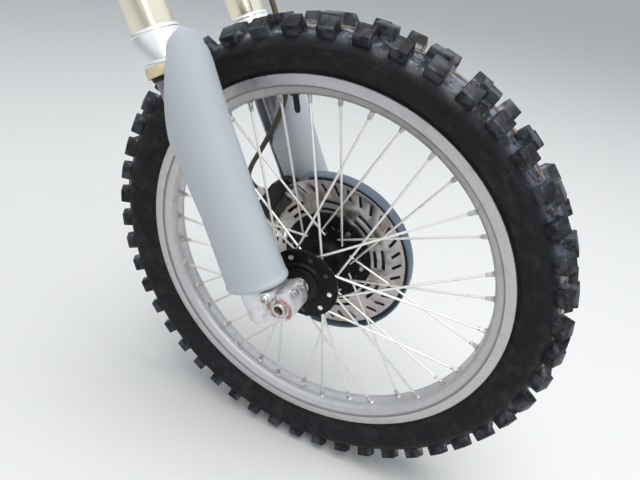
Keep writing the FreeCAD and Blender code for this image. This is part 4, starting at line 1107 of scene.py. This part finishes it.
class FRONTFORK_OT_stage(Operator):
    """Make the camera, the floor and the light"""
    bl_idname = "front_fork.stage"
    bl_label = "Stage"

    def execute(self, context):
        studio = context.scene.front_fork_studio
        context.scene.camera = self.camera(studio)
        self.floor(studio)
        context.scene.world = self.sky(studio)
        self.lamps(studio)
        context.scene.view_settings.view_transform = "Standard"
        return {"FINISHED"}

    def camera(self, studio):
        lens = bpy.data.cameras.new("camera")
        lens.lens = studio.focal_length
        lens.sensor_width = 36.0
        lens.clip_start = 0.01
        eye = placed("camera", lens)
        right = Vector(CAMERA_RIGHT).normalized()
        view = Vector(CAMERA_VIEW).normalized()
        above = right.cross(view).normalized()
        turn = Matrix((right, above, -view)).transposed().to_4x4()
        eye.matrix_world = Matrix.Translation(AXLE + Vector(CAMERA_PLACE)) @ turn
        return eye

    def floor(self, studio):
        bm = bmesh.new()
        bmesh.ops.create_grid(bm, x_segments=1, y_segments=1, size=FLOOR_HALF)
        height = AXLE.z - TYRE_RADIUS - FLOOR_GAP
        bmesh.ops.translate(bm, verts=bm.verts, vec=(AXLE.x, 0, height))
        mesh = meshed("floor", bm)
        look = Finish("floor_paper", studio.floor_colour, Roughness=0.9,
                      Specular_IOR_Level=0.1)
        look.stain(darker(studio.floor_colour, 0.93), 3, 0.35, 0.75, 0.1)
        mesh.materials.append(look.material)
        placed("floor", mesh)

    def sky(self, studio):
        world = bpy.data.worlds.new("sky")
        world.use_nodes = True
        sky = Nodes(world.node_tree)
        direction = sky.node("TexCoord", {})["Generated"]
        upwards = sky.node("SeparateXYZ", {"Vector": direction})["Z"]
        dome = sky.node("MapRange", {"Value": upwards, **SKY_DOME})["Result"]
        rays = sky.node("LightPath", {})
        # Input 0 mixes inputs 2 and 3: metal mirrors the dome, and the camera sees a wall
        seen = sky.node("Mix", {0: rays["Is Glossy Ray"], 2: studio.sky_strength, 3: dome})[0]
        seen = sky.node("Mix", {0: rays["Is Camera Ray"], 2: seen, 3: WALL_STRENGTH})[0]
        background = world.node_tree.nodes["Background"].inputs
        background["Color"].default_value = (*studio.sky_colour, 1.0)
        sky.feed(background["Strength"], seen)
        return world

    def lamps(self, studio):
        for name, shape, width, height, place in LAMPS:
            lamp = bpy.data.lights.new(name, "AREA")
            lamp.shape = shape
            lamp.size = width
            lamp.size_y = height
            lamp.energy = getattr(studio, name + "_power")
            turn = Vector(place).to_track_quat("Z", "Y").to_matrix().to_4x4()
            placed(name, lamp).matrix_world = (
                Matrix.Translation(AXLE + Vector(place)) @ turn)


MAKERS = (
    FRONTFORK_OT_stage,
    FRONTFORK_OT_hose,
    FRONTFORK_OT_tyre,
    FRONTFORK_OT_rim,
    FRONTFORK_OT_spokes,
    FRONTFORK_OT_hub,
    FRONTFORK_OT_valve,
    FRONTFORK_OT_brake,
    FRONTFORK_OT_tubes,
    FRONTFORK_OT_guards,
    FRONTFORK_OT_lugs,
    FRONTFORK_OT_axle,
    FRONTFORK_OT_head,
)
SETTINGS = (
    ("front_fork_studio", StudioSettings),
    ("front_fork_wheel", WheelSettings),
    ("front_fork_legs", ForkSettings),
    ("front_fork_brake", BrakeSettings),
)


class FRONTFORK_PT_panel(Panel):
    """The settings and the makers, in the 3D view's sidebar"""
    bl_idname = "FRONTFORK_PT_panel"
    bl_label = "Front Fork"
    bl_space_type = "VIEW_3D"
    bl_region_type = "UI"
    bl_category = "Front Fork"

    def draw(self, context):
        for name, group in SETTINGS:
            box = self.layout.box()
            for setting in group.__annotations__:
                box.prop(getattr(context.scene, name), setting)
        for maker in MAKERS:
            self.layout.operator(maker.bl_idname)


def register():
    for name, group in SETTINGS:
        bpy.utils.register_class(group)
        setattr(bpy.types.Scene, name, PointerProperty(type=group))
    for maker in MAKERS:
        bpy.utils.register_class(maker)
    bpy.utils.register_class(FRONTFORK_PT_panel)


def unregister():
    bpy.utils.unregister_class(FRONTFORK_PT_panel)
    for maker in reversed(MAKERS):
        bpy.utils.unregister_class(maker)
    for name, group in reversed(SETTINGS):
        delattr(bpy.types.Scene, name)
        bpy.utils.unregister_class(group)


def main():
    register()
    for maker in MAKERS:
        group, name = maker.bl_idname.split(".")
        getattr(getattr(bpy.ops, group), name)()


if __name__ == "__main__":
    main()
